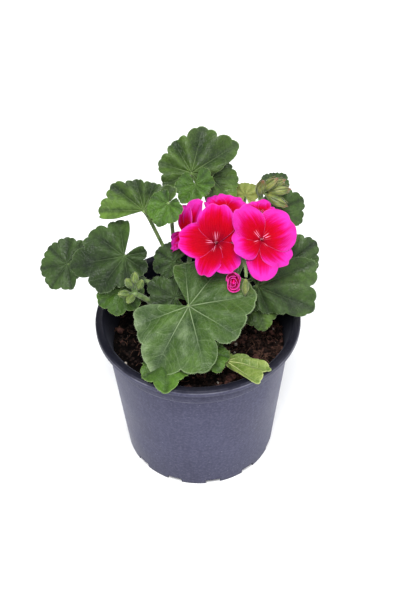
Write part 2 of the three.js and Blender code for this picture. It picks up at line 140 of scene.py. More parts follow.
def spline(points, count):
    """Centripetal Catmull-Rom curve through the points, sampled evenly in its parameter."""
    p = [vec(q) for q in points]
    p = [2 * p[0] - p[1], *p, 2 * p[-1] - p[-2]]
    found = []
    for step in range(count + 1):
        t = step / count * (len(p) - 3)
        i = min(int(t), len(p) - 4)
        w = t - i
        a, b, c, d = p[i : i + 4]
        d0, d1, d2 = (sqrt(np.linalg.norm(q - r)) for q, r in ((b, a), (c, b), (d, c)))
        t1 = ((b - a) / d0 - (c - a) / (d0 + d1) + (c - b) / d1) * d1
        t2 = ((c - b) / d1 - (d - b) / (d1 + d2) + (d - c) / d2) * d1
        found.append(b + t1 * w + (3 * (c - b) - 2 * t1 - t2) * w**2 + (2 * (b - c) + t1 + t2) * w**3)
    return np.array(found)


def along_curve(points, shares):
    """Points at shares of a polyline's length."""
    steps = np.linalg.norm(np.diff(points, axis=0), axis=1)
    length = np.concatenate([[0], np.cumsum(steps)])
    at = np.asarray(shares) * length[-1]
    return np.stack([np.interp(at, length, points[:, k]) for k in range(3)], 1)


def linked(name, data):
    """A new object of the scene."""
    made = bpy.data.objects.new(name, data)
    bpy.context.scene.collection.objects.link(made)
    return made


def mesh_of(name, points, faces):
    """A mesh from points in mm."""
    mesh = bpy.data.meshes.new(name)
    mesh.from_pydata((np.asarray(points) * MM).tolist(), [], faces)
    return mesh


class Piece:
    """Collects the parts of one mesh in mm. `look` is what the shader reads at each point."""

    def __init__(self):
        self.points, self.look, self.faces, self.slots = [], [], [], []
        self.count = 0

    def add(self, points, faces, slot=0, look=None):
        points = np.asarray(points, float).reshape(-1, 3)
        values = np.zeros((len(points), 4))
        if look is not None:
            values[:, : np.shape(look)[1]] = look
        self.points.append(points)
        self.look.append(values)
        self.faces += [tuple(int(i) + self.count for i in face) for face in faces]
        self.slots += [slot] * len(faces)
        self.count += len(points)

    def build(self, name, materials, slot, node=None):
        """Makes the object, rides it on the root and lets it stand for the CAD node."""
        mesh = mesh_of(name, np.vstack(self.points), self.faces)
        look = np.vstack(self.look).astype(np.float32)
        mesh.attributes.new("look", "FLOAT_VECTOR", "POINT").data.foreach_set("vector", look[:, :3].ravel())
        mesh.attributes.new("side", "FLOAT", "POINT").data.foreach_set("value", look[:, 3].ravel())
        for material in materials:
            mesh.materials.append(material)
        mesh.polygons.foreach_set("material_index", self.slots)
        mesh.shade_smooth()
        mesh.validate()
        mesh.update()
        made = linked(name, mesh)
        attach(made, "root")
        if node:
            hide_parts(node)
        return made


def share_grid(rows, columns):
    """Shares of the length from 0 to 1 down the rows, and places across from -1 to 1 along the columns."""
    return np.linspace(0, 1, rows)[:, None], np.linspace(-1, 1, columns)[None, :]


def stacked(*values):
    """The values side by side for every point of a grid."""
    return np.stack(np.broadcast_arrays(*values), -1)


def grid_faces(rows, columns, wrap=False, flip=False):
    """Quads of a grid of rows by columns points, row by row."""
    i, j = np.meshgrid(np.arange(rows - 1), np.arange(columns if wrap else columns - 1), indexing="ij")
    k = (j + 1) % columns
    faces = np.stack([i * columns + j, (i + 1) * columns + j, (i + 1) * columns + k, i * columns + k], -1)
    faces = faces.reshape(-1, 4)
    return faces[:, ::-1] if flip else faces


def ring_faces(rings, sides):
    """Faces round closed rings, with a fan from the first and the last to the two points that follow them."""
    faces = grid_faces(rings, sides, wrap=True, flip=True).tolist()
    low, high, last = rings * sides, rings * sides + 1, (rings - 1) * sides
    faces += [(low, (j + 1) % sides, j) for j in range(sides)]
    faces += [(high, last + j, last + (j + 1) % sides) for j in range(sides)]
    return faces


def sheet(piece, middle, lift, look, slot=0, turned_over=False):
    """A closed thin sheet: a grid of middle points, thickened by lift on both sides."""
    rows, columns, _ = middle.shape
    n = rows * columns
    up = grid_faces(rows, columns, flip=turned_over)
    down = grid_faces(rows, columns, flip=not turned_over) + n
    grid = np.arange(n).reshape(rows, columns)
    border = np.concatenate([grid[0], grid[1:, -1], grid[-1, -2::-1], grid[-2:0:-1, 0]])
    after = np.roll(border, -1)
    walls = np.stack([border, after, after + n, border + n], 1)
    if turned_over:
        walls = walls[:, ::-1]
    points = np.vstack([(middle + lift).reshape(-1, 3), (middle - lift).reshape(-1, 3)])
    look = np.column_stack([np.tile(look.reshape(n, 3), (2, 1)), np.repeat([0.0, 1.0], n)])
    piece.add(points, np.vstack([up, down, walls]), slot, look)


def closed_rings(piece, rings, ends, slot, share, tone, third):
    """A body of rings with a point at each end; share is a look value of each ring, third of each side."""
    look = [[s, tone, t] for s in share for t in third] + [[0, tone, 0], [1, tone, 0]]
    piece.add(np.vstack([*rings, *ends]), ring_faces(len(rings), len(third)), slot, look)


TUBE_END = 0.3  # height of a tube's end as a share of its radius


def tube(piece, path, radii, sides=12, slot=0, tone=0.0):
    """A round closed tube along a path, with one radius or a radius for each point of it."""
    radii = np.broadcast_to(np.asarray(radii, float), len(path))
    tangent = unit(np.gradient(path, axis=0))
    side = np.cross(tangent[0], UP if abs(tangent[0][2]) < 0.9 else vec([1, 0, 0]))
    turn = circle(sides)
    rings = []
    for at, radius, ahead in zip(path, radii, tangent):
        side = side - ahead * (side @ ahead)
        side = side / np.linalg.norm(side)
        rings.append(at + radius * round_way(turn, side, np.cross(ahead, side)))
    ends = [path[0] - tangent[0] * radii[0] * TUBE_END, path[-1] + tangent[-1] * radii[-1] * TUBE_END]
    closed_rings(piece, rings, ends, slot, np.linspace(0, 1, len(path)), tone, turn)


def turned(piece, profile, sides, at, direction, slot=0, grooves=0.0, tone=0.0):
    """A solid of revolution from a profile of [radius, height] that ends on its axis, along a direction."""
    profile = np.asarray(profile, float)
    direction = unit(vec(direction))
    turn = circle(sides)
    around = round_way(turn, *two_across(direction, [0.3, 1, 0.2]))
    groove = np.abs(np.sin(SEPALS / 2 * turn)) ** 6
    inside = profile[1:-1]
    rings = [at + h * direction + (r * (1 - grooves * groove))[:, None] * around for r, h in inside]
    ends = [at + profile[k][1] * direction for k in (0, -1)]
    low, high = profile[:, 1].min(), profile[:, 1].max()
    closed_rings(piece, rings, ends, slot, (inside[:, 1] - low) / (high - low), tone, groove)


def linear(colour):
    """Three numbers are an sRGB colour of 0 to 255, made linear here; any other value stays as it is."""
    if not isinstance(colour, tuple) or len(colour) != 3:
        return colour
    return (*[c / 255 / 12.92 if c <= 10 else ((c / 255 + 0.055) / 1.055) ** 2.4 for c in colour], 1.0)


class Value:
    """A value that varies over a surface. Reckoning with it adds nodes to its shader."""

    def __init__(self, shader, socket):
        self.shader, self.socket = shader, socket

    def __add__(self, other):
        return self.shader.math("ADD", self, other)

    def __sub__(self, other):
        return self.shader.math("SUBTRACT", self, other)

    def __mul__(self, other):
        return self.shader.math("MULTIPLY", self, other)

    def __abs__(self):
        return self.shader.math("ABSOLUTE", self)


class Shader:
    """A node material that ends in one Principled shader, whose uniform values are set on its own sockets."""

    def __init__(self, name, **values):
        self.material = bpy.data.materials.new(name)
        self.material.use_nodes = True
        self.tree = self.material.node_tree
        self.tree.nodes.clear()
        self.surface, self.colour = self.node("BsdfPrincipled"), None
        output = self.node("OutputMaterial")
        self.tree.links.new(self.surface.outputs[0], output.inputs["Surface"])
        for socket, value in values.items():
            self.surface.inputs[socket.replace("_", " ")].default_value = value

    def put(self, socket, value):
        if isinstance(value, Value):
            self.tree.links.new(value.socket, socket)
        else:
            socket.default_value = linear(value)

    def node(self, kind, inputs=(), **properties):
        """A node with its properties, and its inputs as (key, value)."""
        made = self.tree.nodes.new("ShaderNode" + kind)
        for name, value in properties.items():
            setattr(made, name, value)
        for key, value in inputs:
            self.put(made.inputs[key], value)
        return made

    def value(self, kind, inputs=(), output=0, **properties):
        return Value(self, self.node(kind, inputs, **properties).outputs[output])

    def math(self, operation, *values):
        return self.value("Math", enumerate(values), operation=operation)

    def from_whole(self, value):
        """Falls from 0.5 at each whole number to 0 halfway between two of them."""
        return abs(self.math("FRACT", value) - 0.5)

    def step(self, value, low, high, to_low=0, to_high=1):
        """Smooth step of value from low to high, mapped to another range."""
        inputs = enumerate((value, low, high, to_low, to_high))
        return self.value("MapRange", inputs, interpolation_type="SMOOTHSTEP")

    def mix(self, share, a, b):
        return self.value("Mix", (("Factor", share), (6, a), (7, b)), 2, data_type="RGBA")

    def coat(self, share, colour):
        """Covers a share of the colour so far with another."""
        self.colour = self.mix(share, self.colour, colour)

    def ramp(self, value, stops):
        made = self.node("ValToRGB", [(0, value)])
        elements = made.color_ramp.elements
        while len(elements) < len(stops):
            elements.new(0.5)
        for element, (place, colour) in zip(elements, stops):
            element.position = place
            element.color = linear(colour)
        return Value(self, made.outputs[0])

    def place(self, *scale):
        """Where on the object a point is, stretched by a scale of three numbers if they are given."""
        at = self.value("TexCoord", output="Object")
        mapping = self.node("Mapping", [("Vector", at)])
        mapping.inputs["Scale"].default_value = scale or (1, 1, 1)
        return Value(self, mapping.outputs[0])

    def noise(self, scale, detail=3, vector=None):
        inputs = (("Vector", vector or self.place()), ("Scale", scale), ("Detail", detail))
        return self.value("TexNoise", inputs, "Fac")

    def patches(self, scale, detail, *step):
        return self.step(self.noise(scale, detail), *step)

    def cells(self, scale, feature="F1", vector=None):
        """Distance from the middle or the edge of random cells, and a random colour for each cell."""
        inputs = (("Vector", vector or self.place()), ("Scale", scale))
        made = self.node("TexVoronoi", inputs, feature=feature)
        return [Value(self, made.outputs[k]) for k in range(2)]

    def parts(self, value, kind="SeparateXYZ"):
        return [Value(self, output) for output in self.node(kind, [(0, value)]).outputs]

    def look(self):
        """The three values of the look attribute, and the side."""
        three = self.value("Attribute", output="Vector", attribute_name="look")
        return (*self.parts(three), self.value("Attribute", output="Fac", attribute_name="side"))

    def finish(self, bump=None, distance=0.0003, strength=1.0, roughness=None):
        """Gives the surface its colour, bump and roughness."""
        given = {"Base Color": self.colour, "Roughness": roughness}
        if bump is not None:
            inputs = (("Strength", strength), ("Distance", distance), ("Height", bump))
            given["Normal"] = self.value("Bump", inputs)
        for key, value in given.items():
            if value is not None:
                self.put(self.surface.inputs[key], value)
        return self.material


HAIR = {
    "radius": 0.04, "corners": (0, 2.0944, 4.18879), "root": 0.93, "stray": 0.35,
    "edge_per_mm": 1.6, "edge_length": 0.6,
}


class Hairs:
    """Places where the plant's soft hairs grow: each has a root, a way out and a length in mm."""

    def __init__(self, seed):
        self.chance = np.random.RandomState(seed)
        self.roots, self.ways, self.lengths = [], [], []

    def add(self, roots, ways, length):
        self.roots.append(roots)
        self.ways.append(unit(ways + HAIR["stray"] * (self.chance.rand(*ways.shape) - 0.5)))
        self.lengths.append(length * (0.5 + self.chance.rand(len(roots))))

    def places(self, path, per_mm):
        """Random places on a path, with the point before each and the share of the way to the next."""
        count = int(per_mm * np.linalg.norm(np.diff(path, axis=0), axis=1).sum())
        at = self.chance.rand(count) * (len(path) - 1.001)
        i, w = at.astype(int), (at % 1)[:, None]
        return path[i] * (1 - w) + path[i + 1] * w, i, w

    def grow_on_tube(self, path, radii, per_mm=5.0, length=0.9):
        radii = np.broadcast_to(np.asarray(radii, float), len(path))
        at, i, w = self.places(path, per_mm)
        across = two_across(unit(path[i + 1] - path[i]), [0.31, 0.52, 0.8])
        way = round_way(TURN * self.chance.rand(len(at)), *across)
        radius = radii[i][:, None] * (1 - w) + radii[i + 1][:, None] * w
        self.add(at + HAIR["root"] * radius * way, way, length)

    def grow_on_edge(self, edge, ways):
        at, i, _ = self.places(edge, HAIR["edge_per_mm"])
        self.add(at, unit(ways)[i], HAIR["edge_length"])

    def build(self, name, skin):
        """Each hair is a closed cone of three sides."""
        roots, ways = np.vstack(self.roots), np.vstack(self.ways)
        side, other = two_across(ways, [0.2, 0.7, 0.4])
        ring = [roots + HAIR["radius"] * (cos(a) * side + sin(a) * other) for a in HAIR["corners"]]
        points = np.stack([*ring, roots + np.concatenate(self.lengths)[:, None] * ways], 1)
        faces = np.array([[0, 2, 1], [0, 1, 3], [1, 2, 3], [2, 0, 3]])
        piece = Piece()
        piece.add(points, (faces[None] + 4 * np.arange(len(roots))[:, None, None]).reshape(-1, 3))
        return piece.build(name, [skin], "stem")


HAIRS = Hairs(77)
SIDE_VEINS = {"first": 0.22, "step": 0.16, "slope": 0.75}


def leaf_shader(name, dark, light, vein, under, lines=0.3, bloom=0.07):
    """look: mm from the lobe's main vein on a large leaf, count of side veins, share of the radius. bloom
    sets how strong the painted sheen is.
    """
    s = Shader("leaf_" + name, Sheen_Weight=0.04, Sheen_Roughness=0.5, Sheen_Tint=(0.85, 0.95, 0.85, 1),
               Specular_IOR_Level=0.3, Subsurface_Weight=0.04, Subsurface_Radius=(0.0004, 0.0008, 0.0002))
    off, turns, rho, side = s.look()
    width = s.step(rho, 0, 1, 0.55, 0.2)
    main = s.step(off, width, width * 0.2) * s.step(rho, 0.15, 0.85, 1, 0.2)
    minor = s.step(s.from_whole(turns + 0.5), 0.09, 0.015) * s.step(turns, -0.6, -0.1)
    net = s.step(s.cells(430, "DISTANCE_TO_EDGE")[0], 0.13, 0)
    veins = s.math("MAXIMUM", main, minor * 0.3 * s.patches(70, 3, 0.35, 0.6, 0.25, 1))
    s.colour = s.ramp(s.noise(42, 2), [(0.34, dark), (0.66, light)])
    # painted light and shade: the raised fields between the main veins are lightened as if lit, and the
    # creases along the main veins are darkened as shade
    field = s.step(off, 0.6, 4.5) * s.step(rho, 0.15, 0.6)
    s.coat(field * s.patches(90, 2, 0.35, 0.65, 0.1, 0.6), light)
    crease_shade = s.step(off, 2.6, 0.3) * s.step(rho, 0.05, 0.5, 0.2, 0.66)
    s.coat(crease_shade * s.patches(50, 1, 0.3, 0.66, 0.3, 1), dark)
    # painted shade: broad dark patches, laid at random, stand in for the shading of the leaf's folds
    s.coat(s.patches(26, 1, 0.4, 0.7, 0, 0.6), dark)
    s.coat(s.step(rho, 0.3, 0.02, 0, 0.35), light)
    # painted sheen: pale patches of the vein colour, stronger towards the object's left, stand in for light
    # reflected off the leaf's hairs
    painted_sheen = s.step(s.parts(s.place())[0], 0.012, -0.02, 0.3 * bloom, bloom)
    s.coat(s.patches(48, 5, 0.5, 0.78) * painted_sheen, vein)
    grain = s.noise(1500)
    s.coat(s.step(grain, 0.4, 0.75, 0, 0.2), light)
    s.coat(s.patches(330, 4, 0.58, 0.35, 0, 0.35), dark)
    s.coat(s.math("MAXIMUM", veins, net * 0.12) * lines, vein)
    s.coat(s.step(rho, 0.975, 0.99, 0, 0.4), vein)
    s.coat(side * 0.7, under)
    height = veins * -0.7 + grain * 0.5 + net * -0.35 + s.noise(260) * 1.2
    return s.finish(height, 0.0004, 0.8, s.patches(120, 4, 0.35, 0.65, 0.4, 0.6))


def petal_shader():
    """look: share of the length, place across from -1 to 1, how far the red reaches."""
    s = Shader("petal", Roughness=0.55, Specular_IOR_Level=0.03, Subsurface_Weight=0.05,
               Subsurface_Radius=(0.001, 0.0003, 0.0005))
    share, across, reach, side = s.look()
    wide = abs(across)
    spread = s.math("POWER", wide, 2.2) * s.step(share, 0.05, 0.5, 0, 0.36)
    fan = s.value("CombineXYZ", enumerate((across * 9, share, s.noise(20, 1) * 8)))
    wobble = s.noise(110) * 0.3 + s.noise(1, 4, fan) * 0.5 - 0.4
    stops = [(0.02, (90, 0, 20)), (0.13, (160, 0, 12)), (0.34, (186, 0, 10)), (0.52, (202, 0, 20)),
             (0.67, (216, 2, 78)), (0.8, (230, 22, 150)), (0.98, (240, 58, 204))]
    s.colour = s.ramp(share + spread + (wobble - reach), stops)
    rays = across * s.step(share, 0, 1, 7, 14) + s.noise(260, 2) * 1.6
    rays = s.step(s.from_whole(rays), 0.5, 0.3)
    s.coat(rays * s.step(share, 0.9, 0.15, 0.26, 0.6), (144, 0, 26))
    fine = s.step(s.from_whole(across * 26 + s.noise(300) * 3), 0.5, 0.3)
    s.coat(fine * s.step(share, 0.95, 0.4, 0.2, 0.4), (158, 0, 30))
    # painted shade: dark red patches stand in for the shading at the petal's folds and overlaps
    s.coat(s.patches(85, 3, 0.48, 0.66, 0, 0.3), (156, 0, 40))
    pale = s.step(wide, 0.34, 0.12) * s.step(share, 0.3, 0.16) * s.step(share, 0.03, 0.08)
    s.coat(pale * s.step(s.from_whole(across * 5), 0.22, 0.1) * 0.8, (250, 150, 190))
    s.coat(side * 0.45, (226, 56, 144))
    rim = s.math("MAXIMUM", s.step(wide, 0.95, 1), s.step(share, 0.965, 1))
    s.coat(rim * 0.3, (250, 110, 190))
    return s.finish(rays * -0.6 + s.noise(1000), 0.0004, 0.9)


def stalk_shader(name, green, pale, tip=None):
    """look: share of the length, tone towards the tip's or wood's colour, angle or groove; with a tip colour
    the grooves carry painted shade.
    """
    s = Shader(name, Roughness=0.5, Sheen_Weight=0.3, Sheen_Roughness=0.4, Subsurface_Weight=0.1,
               Subsurface_Radius=(0.0006, 0.001, 0.0003))
    share, tone, groove, _ = s.look()
    s.colour = s.mix(s.patches(220, 4, 0.3, 0.7), green, pale)
    s.coat(s.step(s.noise(500, 2, s.place(1, 1, 0.12)), 0.5, 0.8, 0, 0.35), pale)
    if tip:
        s.coat(s.step(share, 0.76, 0.98) * tone, tip)
        # painted shade: darker green in the grooves between the sepals and towards each sepal's edges
        s.coat(s.step(groove, 0.15, 0.9) * 0.55, green)
    else:
        s.coat(tone * 0.8, (112, 92, 60))
    return s.finish(s.noise(900, 4), 0.0003, 0.6)


def soil_shader():
    """look: how dry the peat is."""
    s = Shader("peat", Roughness=0.95, Specular_IOR_Level=0.05)
    stops = [(0.4, (3, 2, 2)), (0.58, (11, 7, 6)), (0.7, (36, 24, 20)), (0.84, (82, 58, 50))]
    s.colour = s.ramp(s.noise(420, 6) + s.look()[0] * 0.17, stops)
    return s.finish(s.noise(900, 8), 0.0014)


def grain_shader(name, dark, light, roughness=0.85):
    s = Shader(name, Roughness=roughness, Specular_IOR_Level=0.1)
    s.colour = s.mix(s.patches(600, 5, 0.3, 0.7), dark, light)
    return s.finish(s.noise(1500, 5), 0.0003, 0.8)


def pot_shader():
    """look: 1 on the lip and inside, with painted shade on the sides of the lip's outer face; height as a
    share; dust along the edges.
    """
    s = Shader("pot_plastic", Sheen_Weight=0.06, Sheen_Roughness=0.35, Sheen_Tint=(0.75, 0.78, 1, 1),
               Specular_IOR_Level=0.09)
    dark, height, dust, _ = s.look()
    streaks = s.noise(420, 4, s.place(1, 1, 0.03))
    clouds = s.noise(30, 4)
    mottle = s.noise(700)
    s.colour = s.mix(s.step(streaks, 0.35, 0.68), (60, 60, 82), (65, 65, 88))
    s.coat(s.step(clouds, 0.38, 0.66, 0, 0.6), (76, 77, 99))
    # painted shade: darker towards the bottom, and a dark rim along the foot's lower edge
    s.coat(s.step(height, 0.4, 0, 0, 0.3), (48, 48, 66))
    s.coat(s.step(height, 0.03, 0, 0, 0.6), (26, 26, 40))
    s.coat(s.step(s.noise(70, 3, s.place(0.06, 0.06, 1)), 0.45, 0.7, 0, 0.3), (74, 74, 97))
    s.coat(s.step(mottle, 0.48, 0.68, 0, 0.34), (90, 90, 108))
    s.coat(s.step(mottle, 0.5, 0.32, 0, 0.34), (48, 48, 66))
    dots, chance = s.cells(800)
    chosen, size, _ = s.parts(chance, "SeparateColor")
    chosen = s.step(chosen, 0.8, 0.86) * s.patches(60, 2, 0.4, 0.6, 0.25, 1)
    s.coat(s.step(dots, size * 0.5, 0) * chosen * 0.45, (150, 149, 162))
    s.coat(s.step(s.cells(240, vector=s.place(1, 1, 0.7))[0], 0.12, 0.04) * 0.3, (30, 30, 44))
    s.coat(dark * 0.97, (9, 9, 17))
    s.coat(s.step(s.noise(500, 5, s.place(1, 1, 0.3)), 0.6, 0.8, 0, 0.1), (100, 101, 118))
    s.coat(dust * s.patches(90, 4, 0.4, 0.6, 0.15, 0.75), (120, 120, 134))
    return s.finish(s.noise(1600) + streaks * 0.5, 0.00008, 0.5, s.step(clouds, 0.3, 0.7, 0.38, 0.52))


BRANCHES = {
    "main": [[0, 3, 66], [0, 4, 86], [-3, 8, 108], [-5, 12, 128]],
    "left": [[0, 4, 84], [-9, 3, 96], [-17, 3, 108], [-22, 4, 120]],
    "right": [[0, 4, 82], [10, 3, 94], [18, 6, 108], [22, 10, 124]],
    "back": [[0, 4, 88], [2, 16, 98], [4, 26, 112], [4, 32, 128]],
}
BRANCH_RADIUS = 2.4
STALK = {"radius": 1.1, "start": 0.35, "end": 0.3, "points": 30}
curves = {name: spline(points, 200) for name, points in BRANCHES.items()}


def foot_of(branch, share):
    return along_curve(curves[branch], [share])[0]


def stalk_path(foot, at, normal, rise, swing=(0, 0, 0)):
    """The stalk leaves its branch outwards and meets the blade square from behind."""
    span = np.linalg.norm(at - foot)
    out = unit(unit((at - foot) * [1, 1, 0]) + UP * rise)
    second = at - normal * STALK["end"] * span + vec(swing)
    return bezier([foot, foot + out * STALK["start"] * span, second, at], STALK["points"])


LEAF = {
    "cup": 0.1, "pleat": 0.025, "wave": 0.05, "waves": 3, "curl": 12, "roll": 8, "lobe": 0.1, "tooth": 0.038,
    "split": [-1, 0], "rise": 0.9, "swing": (0, 0, 0),
}


def leaf(at, face, gap, reach, foot, tone="green", **form):
    """Where the stalk meets the blade, its axes, half the gap at its heart in degrees, each lobe's reach."""
    return {**LEAF, "at": at, "face": face, "gap": gap, "reach": reach, "foot": foot, "tone": tone, **form}


LEAVES = {
    "front": leaf([-5, -18, 126], [-5, 60, 60], 30, [32, 43, 38, 33, 39, 33, 26], ["main", 0.35], "front",
                  cup=0.07, curl=2, roll=18, lobe=0.06, tooth=0.025, split=[2, 0.22]),
    "front_low": leaf([-17, -37, 103.6], [-15, 90, 12], 20, [11, 14, 19, 24, 16, 12, 11], ["main", 0.3],
                      "young", rise=0.4, cup=0, wave=0.02, curl=2, roll=0),
    "front_small": leaf([4, -33, 104], [15, 75, 20], 30, [8, 9, 12, 15, 14, 11, 8], ["right", 0.1],
                        "young", rise=0.4),
    "yellow": leaf([15, -34, 98], [-130, 80, -140], 90, [6, 29, 28, 15, 5, 5, 9], ["right", 0.15], "faded",
                   rise=0.3, curl=0, lobe=0.06),
    "right_low": leaf([34, -4, 127], [10, 45, 60], 30, [12, 14, 17, 36, 37, 12, 10], ["right", 0.6], "deep",
                      cup=0.06, curl=8, lobe=0.14),
    "right_under": leaf([33, -6, 117], [10, 48, 10], 20, [8, 10, 14, 18, 15, 13, 10], ["right", 0.4]),
    "right_mid": leaf([54, 12, 131], [15, 48, 115], 24, [10, 14, 17, 20, 17, 14, 11], ["right", 0.75],
                      "deep"),
    "right_up": leaf([47, 40, 146], [18, 52, 100], 18, [9, 13, 17, 19, 15, 11, 8], ["back", 0.72], "deep"),
    "right_back": leaf([46, 50, 157], [0, 62, 180], 20, [8, 9, 10, 8, 9, 9, 8], ["back", 0.84], "deep"),
    "top": leaf([-2, 42, 173], [0, 48, 165], 30, [15, 12, 32, 28, 21, 20, 18], ["back", 1],
                cup=0.08, curl=8, lobe=0.12),
    "top_right": leaf([9, 46, 166], [20, 50, 75], 20, [9, 17, 19, 17, 15, 10, 8], ["back", 0.9]),
    "mid_back": leaf([0, 32, 172], [-5, 55, 10], 20, [10, 12, 13, 10, 9, 11, 12], ["main", 1], "young",
                     curl=15),
    "left_up": leaf([-29, 20, 164], [-15, 48, 170], 55, [9, 12, 22, 17, 19, 25, 27], ["main", 0.8], cup=0.08),
    "left_inner": leaf([-15, 14, 173], [-20, 55, -10], 20, [9, 11, 13, 14, 11, 9, 6], ["main", 0.9], "young",
                       swing=[0, 12, 0]),
    "left_big": leaf([-41, 8, 141], [-8, 55, -30], 20, [22, 25, 32, 25, 18, 15, 13], ["left", 0.8], "deep",
                     cup=0.06, curl=8, lobe=0.16),
    "left_far": leaf([-74, 10, 134], [-20, 50, -70], 14, [17, 16, 16, 17, 17, 15, 10], ["left", 1], "deep",
                     curl=10),
    "left_low": leaf([-43, -2, 125], [-15, 60, 0], 14, [15, 15, 16, 16, 15, 13, 12], ["left", 0.6], "young",
                     curl=20),
    "inner_left": leaf([-13, 7.2, 136.6], [-20, 50, -60], 14, [9, 12, 13, 13, 10, 7, 6], ["left", 0.9],
                       "deep"),
    "inner_low": leaf([-12.5, -9, 124], [-15, 58, -110], 14, [9.5, 13, 17, 19, 14, 10, 8], ["left", 0.3],
                      "deep"),
    "rear": leaf([11, 62, 111], [175, 55, 5], 18, [17, 20, 22, 24, 22, 20, 17], ["back", 0.3]),
    "rear_right": leaf([43, 54, 116], [140, 50, 0], 18, [16, 18, 20, 20, 20, 18, 16], ["back", 0.6]),
    "bract": leaf([29, 47, 152], [0, 55, 180], 20, [7, 8, 9, 8, 9, 8, 7], ["right", 0.9], "bract"),
}
FADED = ("yellow", "right_back", "bract")
BLADE = {"middle": 0.42, "edge": 0.2, "columns": 24, "rings": 26}  # half thicknesses in mm, columns of a lobe
# heights in mm of the fields between side veins, the main veins, the lumps and the teeth
RELIEF = {"field": 0.3, "vein": 0.45, "lump": 0.7, "tooth": 0.3}
# heights as shares of the leaf's size: a second pleat, the broad swell and the frill of the margin
FORM = {"pleat": 0.034, "swell": 0.1, "frill": 0.014}


def margin_radius(leaf, angle, half):
    """Radius of the scalloped margin at `angle` from the midrib; `half` is half the angle covered."""
    lobes = angle / (2 * half / LOBES)
    place = lobes + (LOBES - 1) / 2
    i = np.clip(np.floor(place), 0, LOBES - 2).astype(int)
    t = smooth(place - i)
    reach = np.array(leaf["reach"], float)
    radius = reach[i] * (1 - t) + reach[i + 1] * t
    lobe = np.abs(np.sin(pi * (lobes + 0.5)))
    tooth = np.abs(np.sin(pi * TEETH * (lobes + 0.5)))
    corner = np.clip((np.abs(angle) / half - 0.93) / 0.07, 0, 1)
    split_at, split_depth = leaf["split"]
    depth = leaf["lobe"] + np.where(i == split_at, split_depth, 0)
    radius = radius * (1 - depth * (1 - lobe**0.6))
    return radius * (1 - leaf["tooth"] * (1 - tooth**0.7)) * (1 - 0.3 * corner**2)


def blade(piece, leaf, seed):
    """The blade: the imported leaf's own form with its veins sunk and the fields between them raised."""
    along, across, normal = axes_of(*leaf["face"])
    half = pi - radians(leaf["gap"])
    lobe_angle = 2 * half / LOBES
    size = max(leaf["reach"])
    angle = np.linspace(-half, half, LOBES * BLADE["columns"] + 1)[None, :]
    rho = 0.012 + 0.988 * np.linspace(0, 1, BLADE["rings"])[:, None] ** 0.8
    margin = margin_radius(leaf, angle[0], half)[None, :]
    even = margin_radius({**leaf, "tooth": 0.0}, angle[0], half)[None, :]
    radius = rho * (even + (margin - even) * rho**5)
    q = radius / size
    place = np.where(np.isclose(angle, half), 0.5, (angle / lobe_angle + 0.5) % 1 - 0.5)
    off = np.abs(place) * lobe_angle * radius
    pleats = np.cos(TURN * angle / lobe_angle)
    teeth = np.cos(pi * TEETH * (angle / lobe_angle + 0.5)) ** 2
    shift = 0.25 * np.sin(TURN * place)
    slant = (off / (SIDE_VEINS["slope"] * margin)) ** 1.12
    turns = (rho - slant - SIDE_VEINS["first"]) / SIDE_VEINS["step"] + shift
    field = np.abs(np.sin(pi * turns)) ** 0.7
    fade = 1 - rho**8
    fineness = np.clip(30 / size, 1, 2.2)
    vein = np.exp(-((off * fineness / 0.7) ** 2))
    u, v = radius * np.cos(angle), radius * np.sin(angle)
    bumps = Noise(seed)
    swell = bumps(u + 200, v + 200, size / 2.4) - 0.5
    lumps = bumps(u + 90, v + 90, 4.0, 2) - 0.5
    waves = leaf["wave"] * q**2.5 * np.sin(leaf["waves"] * angle)
    h = (
        size * (leaf["cup"] * q**2 - leaf["pleat"] * q * pleats + waves)
        + RELIEF["field"] * field * smooth(turns, -0.6, 0) * fade
        - RELIEF["vein"] / fineness * vein * fade * smooth(rho, 0.02, 0.12)
        - FORM["pleat"] * size * rho * pleats
        + FORM["swell"] * size * swell * smooth(rho, 0.05, 0.6)
        + RELIEF["lump"] * lumps * smooth(rho, 0.05, 0.4)
        - RELIEF["tooth"] * rho**4 * teeth
        + FORM["frill"] * size * rho**6 * np.sin(13 * angle + seed)
    )
    u, h = bent(u, h, leaf["curl"], size)
    v, h = bent(v, h, leaf["roll"], size)
    middle = from_place(vec(leaf["at"]), (u, along), (v, across), (h, normal))
    thick = BLADE["edge"] + (BLADE["middle"] - BLADE["edge"]) * (1 - rho**3)
    sheet(piece, middle, thick[..., None] * normal, stacked(off * fineness, turns, rho))
    HAIRS.grow_on_edge(middle[-1], middle[-1] - middle[-3])


SKIN_COLOURS = {  # dark, light, vein, underside, how much the veins show, strength of the painted sheen
    "front": [(28, 52, 14), (70, 98, 34), (154, 174, 130), (96, 120, 74), 0.5, 0.72],
    "green": [(16, 34, 8), (91, 122, 42), (130, 152, 98), (90, 114, 66)],
    "deep": [(11, 24, 8), (60, 86, 30), (100, 122, 78), (70, 90, 56), 0.22, 0.09],
    "young": [(17, 40, 5), (72, 108, 25), (128, 158, 80), (92, 124, 58)],
    "bract": [(94, 108, 42), (156, 160, 86), (176, 178, 118), (140, 150, 84), 0.08, 0.3],
    "faded": [(66, 94, 24), (132, 148, 70), (200, 206, 140), (150, 166, 92), 0.8, 0.2],
}
skins = {name: leaf_shader(name, *colours) for name, colours in SKIN_COLOURS.items()}
stem_skin = stalk_shader("stem_green", (66, 92, 42), (118, 140, 80))

